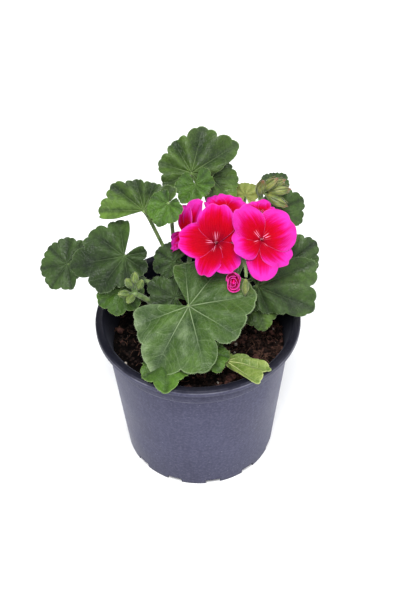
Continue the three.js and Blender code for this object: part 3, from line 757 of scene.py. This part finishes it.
for seed, (name, given) in enumerate(LEAVES.items()):
    piece = Piece()
    blade(piece, given, seed + 11)
    normal = axes_of(*given["face"])[2]
    path = stalk_path(foot_of(*given["foot"]), vec(given["at"]), normal, given["rise"], given["swing"])
    share = np.linspace(0, 1, len(path))
    radii = STALK["radius"] * (1 + 0.35 * np.exp(-share * 12) + 0.2 * np.exp(-(1 - share) * 16))
    tube(piece, path, radii, 12, 1)
    HAIRS.grow_on_tube(path, radii)
    slot = "leaf_faded" if name in FADED else "leaf"
    piece.build(f"leaf_{name}_fine", [skins[given["tone"]], stem_skin], slot, f"leaf_{name}")

stem = Piece()
for name, points in curves.items():
    share = np.linspace(0, 1, 60)
    nodes = 1 + 0.07 * np.sin(share * 38) ** 8
    tube(stem, along_curve(points, share), BRANCH_RADIUS * nodes, 20, 0, 0.8 if name == "main" else 0.25)
stem.build("stem_fine", [stem_skin], "stem", "stem")

BLOOM = {"rise": 0.12, "arch": 0.05, "dish": 0.08, "ripple": 0.03, "stack": 0.25, "fold": 0.0, "red": 0.0}
FLORETS = {  # each petal as direction, length and width
    "left": dict(at=[11, 2, 155], face=[-12, 47, 0], red=0.1,
                 petals=[[150, 16, 15], [38, 19, 18], [-14, 20, 15], [-88, 21, 20], [-175, 21, 22]]),
    "right": dict(at=[35, -3, 161], face=[10, 45, 0], red=-0.12,
                  petals=[[-4, 23, 18], [42, 20, 17], [110, 20, 25], [-85, 16, 20], [-150, 21, 18]]),
    "side": dict(at=[-5, 13, 151], face=[-60, 35, 0], red=-0.08, fold=0.3,
                 petals=[[-170, 22, 13], [-142, 18, 12], [-42, 11.5, 7], [-12, 12.5, 8]]),
    "top_left": dict(at=[17, 21, 161], face=[-20, 80, 0], red=-0.08, fold=0.15,
                     petals=[[180, 12, 16], [-110, 14, 12], [120, 12, 12]]),
    "top_right": dict(at=[36, 16, 162], face=[20, 75, 0], red=-0.08, fold=0.15,
                      petals=[[180, 10, 16], [110, 9, 12], [-110, 12, 12]]),
}
OUTLINE = {"claw": 0.16, "widest": 0.62, "tip_loss": 0.16, "shoulder": 0.24, "power": 2.8}
PETAL = {"middle": 0.3, "edge": 0.16, "rows": 30, "columns": 25}  # half thicknesses in mm
HEART = [[0, -4], [1.1, -4], [1.6, -2], [1.9, -0.4], [1.6, 0.4], [1.1, 0.9], [0.6, 1.1], [0, 1.15]]
HEART_DEPTH = 4
ANTHER = [[0, -0.45], [0.2, -0.3], [0.26, 0], [0.2, 0.3], [0, 0.45]]
STAMENS = 5
STYLES = 2
STAMEN = {"height": 4.2, "more": 1.6, "lean": 3.4, "radii": np.linspace(0.2, 0.12, 9)}
petal_skin = petal_shader()
stamen_skin = stalk_shader("stamen", (150, 20, 60), (225, 110, 150))
throat_skin = grain_shader("throat", (66, 2, 20), (120, 8, 34), 0.55)
sepal_skin = stalk_shader("sepal", (80, 104, 46), (134, 152, 88), (124, 66, 60))


def petal(piece, bloom, size, order):
    """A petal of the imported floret's form, with a frilled margin and fine rays."""
    direction, length, width = size
    along, across, normal = axes_of(*bloom["face"])
    turn = radians(direction)
    out = along * cos(turn) + across * sin(turn)
    side = np.cross(normal, out)
    s, v = share_grid(PETAL["rows"], PETAL["columns"])
    wide = np.abs(v)
    swell = np.sin(pi / 2 * np.minimum(1, s / OUTLINE["widest"]))
    past = np.maximum(0, s - OUTLINE["widest"]) / (1 - OUTLINE["widest"])
    half = width / 2 * (OUTLINE["claw"] + (1 - OUTLINE["claw"]) * swell) * (1 - OUTLINE["tip_loss"] * past**2)
    x = s * length * (1 - OUTLINE["shoulder"] * wide ** OUTLINE["power"])
    x = x - 0.025 * length * s**8 * np.exp(-(((v - 0.15 * sin(order)) / 0.16) ** 2))
    x = x + 0.3 * s**6 * np.cos(7 * v + order)
    y = v * half
    edge = np.maximum(smooth(s, 0.72, 1.0), smooth(wide, 0.7, 1.0) * smooth(s, 0.15, 0.6))
    h = (
        bloom["rise"] * x
        - bloom["arch"] * length * s**2
        + bloom["dish"] * width * v**2 * s
        + bloom["ripple"] * length * s**2 * np.sin(3 * v + 2 * order)
        + bloom["stack"] * order
        + bloom["fold"] * width / 2 * wide**1.3 * smooth(s, 0.1, 0.6)
        + 0.3 * order * s
        + 0.5 * s**3 * np.sin(7 * v + 3 * order)
        - 0.3 * s * (1 - s) * 4 * np.exp(-((v / 0.1) ** 2))
        - 0.9 * edge**2 * (0.6 + 0.4 * np.sin(5 * v + 2 * order))
        + 0.08 * np.sin(24 * v) * s * (1 - s**2)
        + 0.7 * s * (Noise(order + 31)(x + 60, y + 60, 6.0, 2) - 0.5)
    )
    middle = from_place(vec(bloom["at"]), (x, out), (y, side), (h, normal))
    thick = PETAL["edge"] + (PETAL["middle"] - PETAL["edge"]) * (1 - np.maximum(s, wide) ** 3)
    sheet(piece, middle, thick[..., None] * normal, stacked(s, v, bloom["red"]))


def floret(name, bloom, seed):
    along, across, normal = axes_of(*bloom["face"])
    at = vec(bloom["at"])
    piece = Piece()
    for order, size in enumerate(bloom["petals"]):
        petal(piece, bloom, size, order)
    turned(piece, HEART, 20, at, normal, 1)
    chance = np.random.RandomState(seed)
    for k in range(STAMENS + STYLES):
        turn = TURN * k / STAMENS + chance.rand() * 0.5
        lean = 0.2 + 0.3 * chance.rand() if k < STAMENS else 0.08
        out = along * cos(turn) + across * sin(turn)
        end = at + normal * (STAMEN["height"] + STAMEN["more"] * chance.rand()) + out * lean * STAMEN["lean"]
        path = bezier([at + out * 0.3, at + normal * 3 + out * 0.5 * lean, end], len(STAMEN["radii"]))
        tube(piece, path, STAMEN["radii"], 8, 2)
        if k < STAMENS:
            turned(piece, ANTHER, 10, end, out + 0.3 * normal, 1)
    piece.build(f"floret_{name}_fine", [petal_skin, throat_skin, stamen_skin], "petal", f"floret_{name}")


for seed, (name, given) in enumerate(FLORETS.items()):
    floret(name, {**BLOOM, **given}, seed + 3)

UMBEL = {"hub": vec([24, 16, 141]), "from": 0.97, "stalk": 1.7, "pedicel": 0.8, "bow": 9, "bud_bow": 8}
HUB = [[0, -2.4], [1.6, -1.6], [2.3, -0.6], [2.4, 0.3], [1.7, 1.5], [0, 2.4]]
CALYX = [[0, -5], [0.9, -4.9], [1.15, -3], [1.4, -1.4], [2.1, -0.5], [2.5, 0], [0, 0]]
CALYX_LENGTH = 5
GAP = 0.3
GROOVES = {"calyx": 0.08, "bud": 0.12}
OPENING = {"at": vec([20.4, -8, 141]), "face": [0, -50, 0]}
ROLLED_PETALS = 8
HANGING = {"at": vec([26.8, -14.2, 142.5]), "tip": vec([26.4, -15.2, 130]), "radius": 2.4}
SEPAL = {"half_thickness": 0.16, "tone": 0.4, "rows": 9, "columns": 5}


def sepals(piece, at, normal, length, width, spread, seed, slot=0, form=None):
    """A ring of pointed sepals that open from a bud or lie along its form."""
    side, other = two_across(normal, [0.2, 1, 0.4])
    chance = np.random.RandomState(seed)
    s, v = share_grid(SEPAL["rows"], SEPAL["columns"])
    half = width / 2 * np.sin(pi * np.clip(0.18 + 0.82 * s, 0, 1)) ** 0.8 + 0.08
    away = 0.9 + spread * s**1.5 - 0.25 * v**2
    if form is not None:
        away = np.interp(s * length, form[:, 1], form[:, 0]) + 0.12 + spread * s**3 - 0.3 * v**2
    for k in range(SEPALS):
        turn = TURN * (k + 0.15 * chance.rand()) / SEPALS
        out = side * cos(turn) + other * sin(turn)
        middle = from_place(at, (s * length, normal), (away, out), (v * half, np.cross(normal, out)))
        look = stacked(s, SEPAL["tone"], np.abs(v) ** 2)
        sheet(piece, middle, SEPAL["half_thickness"] * out, look, slot, turned_over=True)


def pedicel(piece, start, bow, end, radii):
    """The stalk of one flower or bud, which bows towards a point on its way."""
    path = bezier([start, bow, end], 20)
    tube(piece, path, radii, 10)
    HAIRS.grow_on_tube(path, UMBEL["pedicel"], 6, 0.7)


def umbel():
    hub = UMBEL["hub"]
    start = foot_of("right", UMBEL["from"])
    piece = Piece()
    path = bezier([start, start + [1, 2, 8], hub - [0, 0, 8], hub], 24)
    tube(piece, path, UMBEL["stalk"], 16)
    HAIRS.grow_on_tube(path, UMBEL["stalk"], 9)
    turned(piece, HUB, 20, hub, UP, 0)
    for bloom in FLORETS.values():
        normal = axes_of(*bloom["face"])[2]
        end = vec(bloom["at"]) - normal * (HEART_DEPTH + GAP)
        turned(piece, CALYX, 20, end, normal, 1, GROOVES["calyx"], 0.2)
        pedicel(piece, hub, end - normal * UMBEL["bow"], end + normal * (1 - CALYX_LENGTH), UMBEL["pedicel"])
    drop = unit(HANGING["tip"] - HANGING["at"])
    for bud, direction in ((OPENING, axes_of(*OPENING["face"])[2]), (HANGING, drop)):
        end = bud["at"] - direction * (1 + GAP)
        pedicel(piece, hub, end - direction * UMBEL["bud_bow"], end, np.linspace(UMBEL["pedicel"], 0.9, 20))
    piece.build("umbel_fine", [stem_skin, sepal_skin], "stem", "umbel_stalk")


umbel()


def spindle(radius, length, rows=14):
    """Profile of a pointed bud."""
    shares = np.linspace(0, 1, rows)
    widths = np.interp(shares, [0, 0.12, 0.35, 0.6, 0.85, 1], [0, 0.6, 0.96, 1, 0.52, 0])
    widths[1:-1] = (widths[:-2] + 2 * widths[1:-1] + widths[2:]) / 4
    return stacked(widths * radius, shares * length)


def opening_bud():
    """The opening bud: petals rolled round one another, with their mouth turned to the front."""
    at, down = OPENING["at"], axes_of(*OPENING["face"])[2]
    front = unit(vec([-0.12, -0.97, 0.3]))
    along, across = two_across(front, [1, 0.1, 0])
    centre = at + down * 4.6 - front * 2.2
    piece = Piece()
    turned(piece, spindle(2.6, 7.0), 20, centre - front * 1.6, front, 0, tone=-0.1)
    s, v = share_grid(16, 22)
    for k in range(ROLLED_PETALS):
        inner = k / ROLLED_PETALS
        around = k * 2.4 + v * (1.45 - 0.3 * inner)
        mouth = (4.0 * (1 - inner) ** 0.8 + 0.5) * (0.35 + 0.65 * smooth(s, 0, 0.7))
        reach = mouth * (1.05 + 0.25 * np.cos(2 * around)) + 0.35 * v * (1 - inner)
        reach = reach + 0.5 * s**5 * (1 - inner) + 0.15 * np.sin(6 * v + k) * s**2
        rise = s * (4.6 + 1.6 * inner) * (1 - 0.14 * np.abs(v) ** 2.5) - 0.5 * s**6 * (1 - inner)
        side = round_way(around, along, across)
        middle = from_place(centre, (rise, front), (reach, side))
        look = stacked(0.3 + 0.72 * s**1.5, 0.3 * v, 0.08)
        sheet(piece, middle, 0.17 * side, look, 0, turned_over=True)
    sepals(piece, centre - front * 2.0, front, 4.6, 2.2, 1.6, 4, 1)
    link = bezier([at, at + down * 2.0, centre - front * 2.2, centre - front * 1.2], 10)
    tube(piece, link, np.linspace(1.0, 1.5, 10), 12, 1)
    piece.build("opening_bud_fine", [petal_skin, sepal_skin], "petal", "opening_bud")


opening_bud()

CLUSTERS = {
    "right": dict(foot=["right", 0.8], centre=[37, 39, 161], lean=[-0.2, -0.2, 1], length=14.5, radius=2.9,
                  spread=0.9, colours=[(70, 88, 32), (136, 142, 70), (112, 48, 42)],
                  tips=[[52, 42, 167], [55, 38, 163], [53, 33, 154], [47, 37, 172], [38.5, 36, 171.5]]),
    "left": dict(foot=["left", 0.45], centre=[-35, -12, 131], lean=[-0.6, -0.3, 0.7], length=8.5, radius=2.1,
                 spread=0.25, colours=[(56, 78, 28), (108, 128, 54), (118, 130, 60)],
                 tips=[[-34, -12, 147], [-39, -14, 144], [-44, -18, 136], [-39, -21, 132], [-30, -13, 142]]),
}
CLUSTER_HUB = [[0, -2], [1.8, -1], [2.2, 0.2], [1.6, 1.2], [0, 2]]
bud_skins = {name: stalk_shader(f"bud_{name}", *given["colours"]) for name, given in CLUSTERS.items()}


def closed_bud(piece, start, direction, radius, length):
    """Adds a closed bud and gives its profile."""
    form = spindle(radius, length, 18)
    turned(piece, form, 30, start, direction, 0, GROOVES["bud"], 0.9)
    return form


def cluster(name, given, seed):
    centre = vec(given["centre"])
    radius, length = given["radius"], given["length"]
    piece = Piece()
    path = stalk_path(foot_of(*given["foot"]), centre, unit(vec(given["lean"])), 0.8)
    tube(piece, path, 1.5, 14, 1)
    HAIRS.grow_on_tube(path, 1.5, 8)
    turned(piece, CLUSTER_HUB, 16, centre, UP, 1)
    for k, tip in enumerate(given["tips"]):
        direction = unit(vec(tip) - centre)
        start = vec(tip) - direction * length
        form = closed_bud(piece, start, direction, radius, length)
        HAIRS.grow_on_tube(start + form[:, 1:] * direction, form[:, 0], 3.5, 0.6)
        joint = start + direction * 1.5
        tube(piece, bezier([centre, (centre + joint) / 2 + [0, 0, 0.3], joint], 8), 0.8, 10, 1)
        sepals(piece, start, direction, length * 0.9, radius * 0.9, given["spread"], k + seed, form=form)
    piece.build(f"buds_{name}_fine", [bud_skins[name], stem_skin], "bud", f"buds_{name}")


def hanging_bud():
    """The closed bud that hangs from the hub, and its hairs."""
    top, tip, radius = HANGING["at"], HANGING["tip"], 0.85 * HANGING["radius"]
    piece = Piece()
    closed_bud(piece, top, tip - top, radius, np.linalg.norm(tip - top))
    form = spindle(1, 12)
    HAIRS.grow_on_tube(top + form[:, 1:] * unit(tip - top), radius * form[:, 0], 3.5, 0.6)
    return piece


for seed, (name, given) in enumerate(CLUSTERS.items()):
    cluster(name, given, 10 * seed)
hanging = hanging_bud()
HAIRS.build("hairs", grain_shader("hair", (150, 168, 120), (206, 216, 186), 0.6))
hanging.build("hanging_bud_fine", [bud_skins["right"]], "bud", "hanging_bud")

SOIL = {
    "top": 81, "bottom": 5.3, "wave": 1.6, "edge": 0.5, "rings": 110, "sides": 280,
    "radii": [0, 12, 24, 36, 47, 54], "rim": 80.5, "dry": (-20, 30), "bare": (20, -25),
    "lumps": [[3.0, 14.0, 1], [2.2, 4.5, 3]],  # height and width in mm, octaves
}
POT = {
    "lip": 60, "lip_inner": 56, "height": 101, "lip_drop": 3, "wall": 1.6, "band": 55, "band_height": 13,
    "step": 0.8, "base": 46, "floor": 3, "floor_thickness": 2, "foot_width": 2.2, "sides": 240, "sharp": 38,
}
shoulder = POT["height"] - POT["lip_drop"]
band_foot = shoulder - POT["band_height"]
slope = (POT["band"] - 1 - POT["base"]) / band_foot
ground = Noise(5)


def inner_radius(z):
    return POT["base"] + slope * z - POT["wall"]


def soil_height(x, y):
    """Height of the soil's surface in mm."""
    r = np.hypot(x, y)
    heights = [SOIL["top"] + SOIL["wave"] * cos(2.1 * k) for k in range(5)]
    lumps = sum(high * (ground(x + 90, y + 90, *cell) - 0.5) for high, *cell in SOIL["lumps"])
    return np.interp(r, SOIL["radii"], [*heights, SOIL["rim"]]) + lumps * smooth(r, 53.0, 46.0)


def soil():
    piece = Piece()
    rim = inner_radius(SOIL["top"]) - 3 * GAP - SOIL["edge"]
    foot = inner_radius(SOIL["bottom"]) - 3 * GAP
    turn = circle(SOIL["sides"])
    x, y = (np.linspace(0.4, rim, SOIL["rings"])[:, None] * side for side in (np.cos(turn), np.sin(turn)))
    rings = stacked(x, y, soil_height(x, y)).reshape(-1, 3)
    base = stacked(foot * np.cos(turn), foot * np.sin(turn), SOIL["bottom"])
    points = np.vstack([rings, base, [[0, 0, soil_height(0.0, 0.0)], [0, 0, SOIL["bottom"]]]])
    faces = [face[::-1] for face in ring_faces(SOIL["rings"] + 1, SOIL["sides"])]
    piece.add(points, faces, 0, smooth(points[:, :1], *SOIL["dry"]))
    piece.build("soil_fine", [soil_shader()], "soil", "soil")


soil()


def scatter(chance, count, left=1.0, reach=51.0):
    """Random places on the soil's surface, of which a share is kept on its left."""
    r, turn = reach * np.sqrt(chance.rand(count)), TURN * chance.rand(count)
    x, y = r * np.cos(turn), r * np.sin(turn)
    kept = chance.rand(count) < 1 - (1 - left) * smooth(x, *SOIL["bare"])
    x, y = x[kept], y[kept]
    return stacked(x, y, soil_height(x, y))


def lump():
    """Points and faces of an octahedron whose faces are each split once."""
    points = [vec([x, 0, 0]) for x in (1, -1)] + [vec([0, y, 0]) for y in (1, -1)] + [UP, -UP]
    faces = []
    for a, b, c in [(0, 2, 4), (2, 1, 4), (1, 3, 4), (3, 0, 4), (2, 0, 5), (1, 2, 5), (3, 1, 5), (0, 3, 5)]:
        d, e, f = range(len(points), len(points) + 3)
        points += [unit(points[p] + points[q]) for p, q in ((a, b), (b, c), (c, a))]
        faces += [(a, d, f), (d, b, e), (f, e, c), (d, e, f)]
    points, inverse = np.unique(np.round(points, 5), axis=0, return_inverse=True)
    return points, inverse.reshape(-1)[np.array(faces)]


LUMP, LUMP_FACES = lump()
SEEN = {"growth": 2.2, "lift": 0.4}  # of crumbs at given places, which lie on top of the others
GROWTH = {"least": 0.4, "more": 1.2}


def crumbs(name, count, size, colours, seed, flat=0.6, left=1.0, seen=()):
    """Loose crumbs: little roughened lumps."""
    chance = np.random.RandomState(seed)
    piece = Piece()
    grown = [(vec([x, y, soil_height(x, y) + SEEN["lift"]]), SEEN["growth"]) for x, y in seen]
    for place in scatter(chance, count, left):
        grown.append((place, GROWTH["least"] + GROWTH["more"] * chance.rand() ** 2))
    for place, growth in grown:
        scale = size * growth * (0.7 + 0.6 * chance.rand(3))
        scale[2] *= flat
        turn = TURN * chance.rand()
        spin = np.array([[cos(turn), -sin(turn), 0], [sin(turn), cos(turn), 0], [0, 0, 1]])
        rough = LUMP * (0.75 + 0.5 * chance.rand(len(LUMP), 1)) * scale
        piece.add(rough @ spin.T + place + [0, 0, 0.2 * scale[2]], LUMP_FACES)
    piece.build(name, [grain_shader(*colours)], "soil")


crumbs("peat_crumbs", 1300, 1.0, ("peat_crumb", (8, 6, 5), (36, 24, 20)), 21, 0.6, 0.8)
crumbs("bark_bits", 170, 1.9, ("bark", (30, 18, 16), (84, 55, 48)), 24, 0.5, 0.2)
crumbs("perlite", 20, 0.55, ("perlite", (112, 104, 96), (168, 160, 150), 0.7), 22, 0.9, 1.0,
       [[-42.9, -18.9], [22.2, -4.6]])


FIBRE = {"points": 7, "reach": 50.0, "edge": 52.5, "lift": 0.25, "arch": 0.9}


def fibres(count, seed):
    """Brown peat fibres that lie over the soil."""
    chance = np.random.RandomState(seed)
    piece = Piece()
    for place in scatter(chance, count, 0.3, FIBRE["reach"]):
        length, turn = 2.5 + 6 * chance.rand() ** 2, TURN * chance.rand()
        out = vec([cos(turn), sin(turn), 0])
        side = vec([-sin(turn), cos(turn), 0]) * (chance.rand() - 0.5) * length
        path = bezier([place, place + out * length / 2 + side, place + out * length], FIBRE["points"])
        if (np.hypot(path[:, 0], path[:, 1]) < FIBRE["edge"]).all():
            arch = FIBRE["arch"] * chance.rand() * np.sin(np.linspace(0, pi, FIBRE["points"]))
            path[:, 2] = soil_height(path[:, 0], path[:, 1]) + FIBRE["lift"] + arch
            tube(piece, path, np.linspace(0.2, 0.09, FIBRE["points"]), 5)
    piece.build("peat_fibres", [grain_shader("fibre", (44, 28, 23), (104, 76, 62))], "soil")


fibres(420, 23)

NOTCH = {"count": 12, "width": 9, "depth": 8, "height": 3.5, "first": 9}
DRAIN = {"count": 5, "radius": 4, "at": 27}
PAD = {"radius": 14, "height": 3.5, "sides": 64}


def pot_profile():
    """[radius, height, darkness, dust] of the wall, from the underside's middle round to the floor's top."""
    floor_top = POT["floor"] + POT["floor_thickness"]
    base, band, lip, inner, top = POT["base"], POT["band"], POT["lip"], POT["lip_inner"], POT["height"]
    low = band_foot - 4
    outside = [[(band - 1 - base) * t, 1 + (band_foot - 1) * t, 0, 0] for t in np.linspace(0, 1, 24)[1:-1]]
    inside = [low + (floor_top - low) * t for t in np.linspace(0, 1, 8)[1:]]
    groups = [
        (base - POT["foot_width"], 0, [[-1, POT["floor"], 0, 0], [0, 0.3, 0, 0], [0.3, 0, 0, 0]]),
        (base, 0, [[-0.7, 0, 0, 0], [-0.2, 0.3, 0, 0.3], [0, 1, 0, 0], *outside]),
        (band, band_foot, [[-1.02, -0.5, 0, 0], [-1, 0, 0, 0.9], [-POT["step"], 0.5, 0, 0.9],
                           [-0.15, 1.1, 0.1, 0], [0, 1.5, 0.1, 0], [0.2, 6, 0.1, 0]]),
        (band, shoulder, [[0.4, -0.6, 0.2, 0], [0.8, 0.1, 0.8, 0]]),
        (lip, shoulder, [[-0.6, -1.5, 0.2, 0.2], [-0.2, -1.4, 0.2, 0.3], [0, -0.9, 0.1, 0.1],
                         [0.03, -0.2, 0.1, 0], [0.05, 0.9, 0.15, 0.2], [0.04, 1.2, 0.2, 1],
                         [0.03, 1.5, 0.5, 0.9], [0.02, 1.8, 0.75, 0.2]]),
        (lip, top, [[-0.1, -0.5, 0.8, 0.1], [-0.5, -0.05, 0.9, 0.2], [-1, 0, 0.9, 0]]),
        (inner, top, [[0.6, 0, 1, 0], [0.1, -0.15, 1, 0.1], [-0.4, -0.7, 1, 0], [-1.4, -1.8, 1, 0]]),
    ]
    points = [[r + x, z + y, *look] for r, z, rows in groups for x, y, *look in rows]
    wall = [[inner_radius(band_foot), low, 1, 0], *[[inner_radius(z), z, 1, 0] for z in inside]]
    return np.array([[0, POT["floor"], 0, 0], *points, *wall, [0, floor_top, 1, 0]])


def notch(turn):
    """A box across the foot ring."""
    w, d, h = NOTCH["width"] / 2, NOTCH["depth"] / 2, NOTCH["height"]
    corners = [[sx * w, POT["base"] + sy * d, sz * h] for sx in (-1, 1) for sy in (-1, 1) for sz in (-1, 1)]
    c, s = cos(turn), sin(turn)
    points = [[c * x - s * y, s * x + c * y, z] for x, y, z in corners]
    return points, [(0, 1, 3, 2), (4, 6, 7, 5), (0, 4, 5, 1), (2, 3, 7, 6), (0, 2, 6, 4), (1, 5, 7, 3)]


def disc(x, y, radius, low, high, sides=32):
    """A round body for a drain hole or the pad."""
    turn = circle(sides)
    ring = stacked(x + radius * np.cos(turn), y + radius * np.sin(turn))
    points = [[*p, z] for z in (low, high) for p in ring]
    faces = [(j, (j + 1) % sides, sides + (j + 1) % sides, sides + j) for j in range(sides)]
    return points, [*faces, tuple(range(sides))[::-1], tuple(range(sides, 2 * sides))]


def cut(made, operation, points, faces):
    """Takes a body from an object or joins it to the object."""
    tool = linked("tool", mesh_of("tool", points, faces))
    change = made.modifiers.new("cut", "BOOLEAN")
    change.operation, change.solver, change.object = operation, "EXACT", tool
    with bpy.context.temp_override(object=made, active_object=made, selected_objects=[made]):
        bpy.ops.object.modifier_apply(modifier=change.name)
    bpy.data.objects.remove(tool)


def pot():
    profile = pot_profile()
    turn = circle(POT["sides"])
    radii, heights, dark, dust = (profile[1:-1, k : k + 1] for k in range(4))
    rings = stacked(radii * np.cos(turn), radii * np.sin(turn), heights)
    points = np.vstack([rings.reshape(-1, 3), [[0, 0, profile[k][1]] for k in (0, -1)]])
    # painted light and shade: on the lip's outer face the pale dust line and lighter tone are kept where
    # light falls, at the front and right, and the sides are darkened to near black as shade
    front = np.maximum(smooth(-np.sin(turn), 0.3, 0.85), 0.45 * smooth(np.cos(turn), 0.5, 0.9))[None, :]
    face = (radii > POT["lip"] - 1.5) & (heights > shoulder - 2)
    dark = np.where(face, 1 - (1 - dark) * (0.12 + 0.88 * front), dark)
    dust = np.where(face, dust * (0.25 + 0.75 * front), dust)
    dark, dust = np.append(dark.ravel(), [0, 1]), np.append(dust.ravel(), [0, 0])
    piece = Piece()
    faces = ring_faces(len(rings), POT["sides"])
    piece.add(points, faces, 0, stacked(dark, points[:, 2] / POT["height"], dust))
    made = piece.build("pot_fine", [pot_shader()], "pot", "pot")
    for k in range(NOTCH["count"]):
        cut(made, "DIFFERENCE", *notch(radians(NOTCH["first"] + 360 / NOTCH["count"] * k)))
    for k in range(DRAIN["count"]):
        at = TURN * k / DRAIN["count"]
        x, y = DRAIN["at"] * cos(at), DRAIN["at"] * sin(at)
        cut(made, "DIFFERENCE", *disc(x, y, DRAIN["radius"], -10, 10))
    cut(made, "UNION", *disc(0, 0, PAD["radius"], 0, PAD["height"], PAD["sides"]))
    made.data.shade_smooth()
    made.data.set_sharp_from_angle(angle=radians(POT["sharp"]))


pot()

corners = [(-3000, -3000, 0), (3000, -3000, 0), (3000, 3000, 0), (-3000, 3000, 0)]
floor = linked("floor", mesh_of("floor", corners, [(0, 1, 2, 3)]))
floor_skin = Shader("floor", Roughness=0.8)
floor_skin.colour = floor_skin.mix(floor_skin.noise(2), (0.94, 0.94, 0.945, 1), (0.96, 0.96, 0.96, 1))
floor.data.materials.append(floor_skin.finish())

world = bpy.data.worlds.new("studio")
bpy.context.scene.world = world
world.use_nodes = True
world.node_tree.nodes["Background"].inputs["Color"].default_value = (0.93, 0.96, 1, 1)
world.node_tree.nodes["Background"].inputs["Strength"].default_value = 0.5


def aimed(name, data, at, right, back):
    """A lamp or camera at a place in metres, which looks away from `back`."""
    made = linked(name, data)
    axes = (right, np.cross(back, right), back, at)
    made.matrix_world = Matrix([[axis[k] for axis in axes] for k in range(3)] + [[0, 0, 0, 1]])
    return made


def lamp(name, at, aim, size, watts):
    data = bpy.data.lights.new(name, "AREA")
    data.shape, data.size, data.energy = "DISK", size, watts
    back = unit(vec(at) - vec(aim))
    aimed(name, data, at, unit(np.cross(UP, back)), back)


lamp("key", [-0.08, -0.62, 1.3], [0, 0, 0.1], 0.8, 26)
lamp("right", [1.0, -0.2, 0.8], [0, 0, 0.08], 0.7, 4.2)
lamp("left", [-1.0, 0.1, 0.8], [0, 0, 0.08], 0.7, 0.7)
lamp("back", [0.2, 0.9, 1.0], [0, 0, 0.1], 0.6, 4)

CAMERA = {
    "at": [0.33, -463.12, 556.61], "elevation": 43.78, "azimuth": -0.163, "roll": -1.054,
    "focal": 1111.04, "long_side": 601, "sensor": 36,
}


def camera():
    data = bpy.data.cameras.new("camera")
    data.sensor_width = CAMERA["sensor"]
    data.lens = data.sensor_width * CAMERA["focal"] / CAMERA["long_side"]
    data.clip_start, data.clip_end = 0.01, 20
    e, a, r = (radians(CAMERA[k]) for k in ("elevation", "azimuth", "roll"))
    back = vec([sin(a) * cos(e), -cos(a) * cos(e), sin(e)])
    level = unit(np.cross(UP, back))
    right = level * cos(r) + np.cross(back, level) * sin(r)
    bpy.context.scene.camera = aimed("camera", data, vec(CAMERA["at"]) * MM, right, back)


camera()
bpy.context.scene.view_settings.view_transform = "Standard"
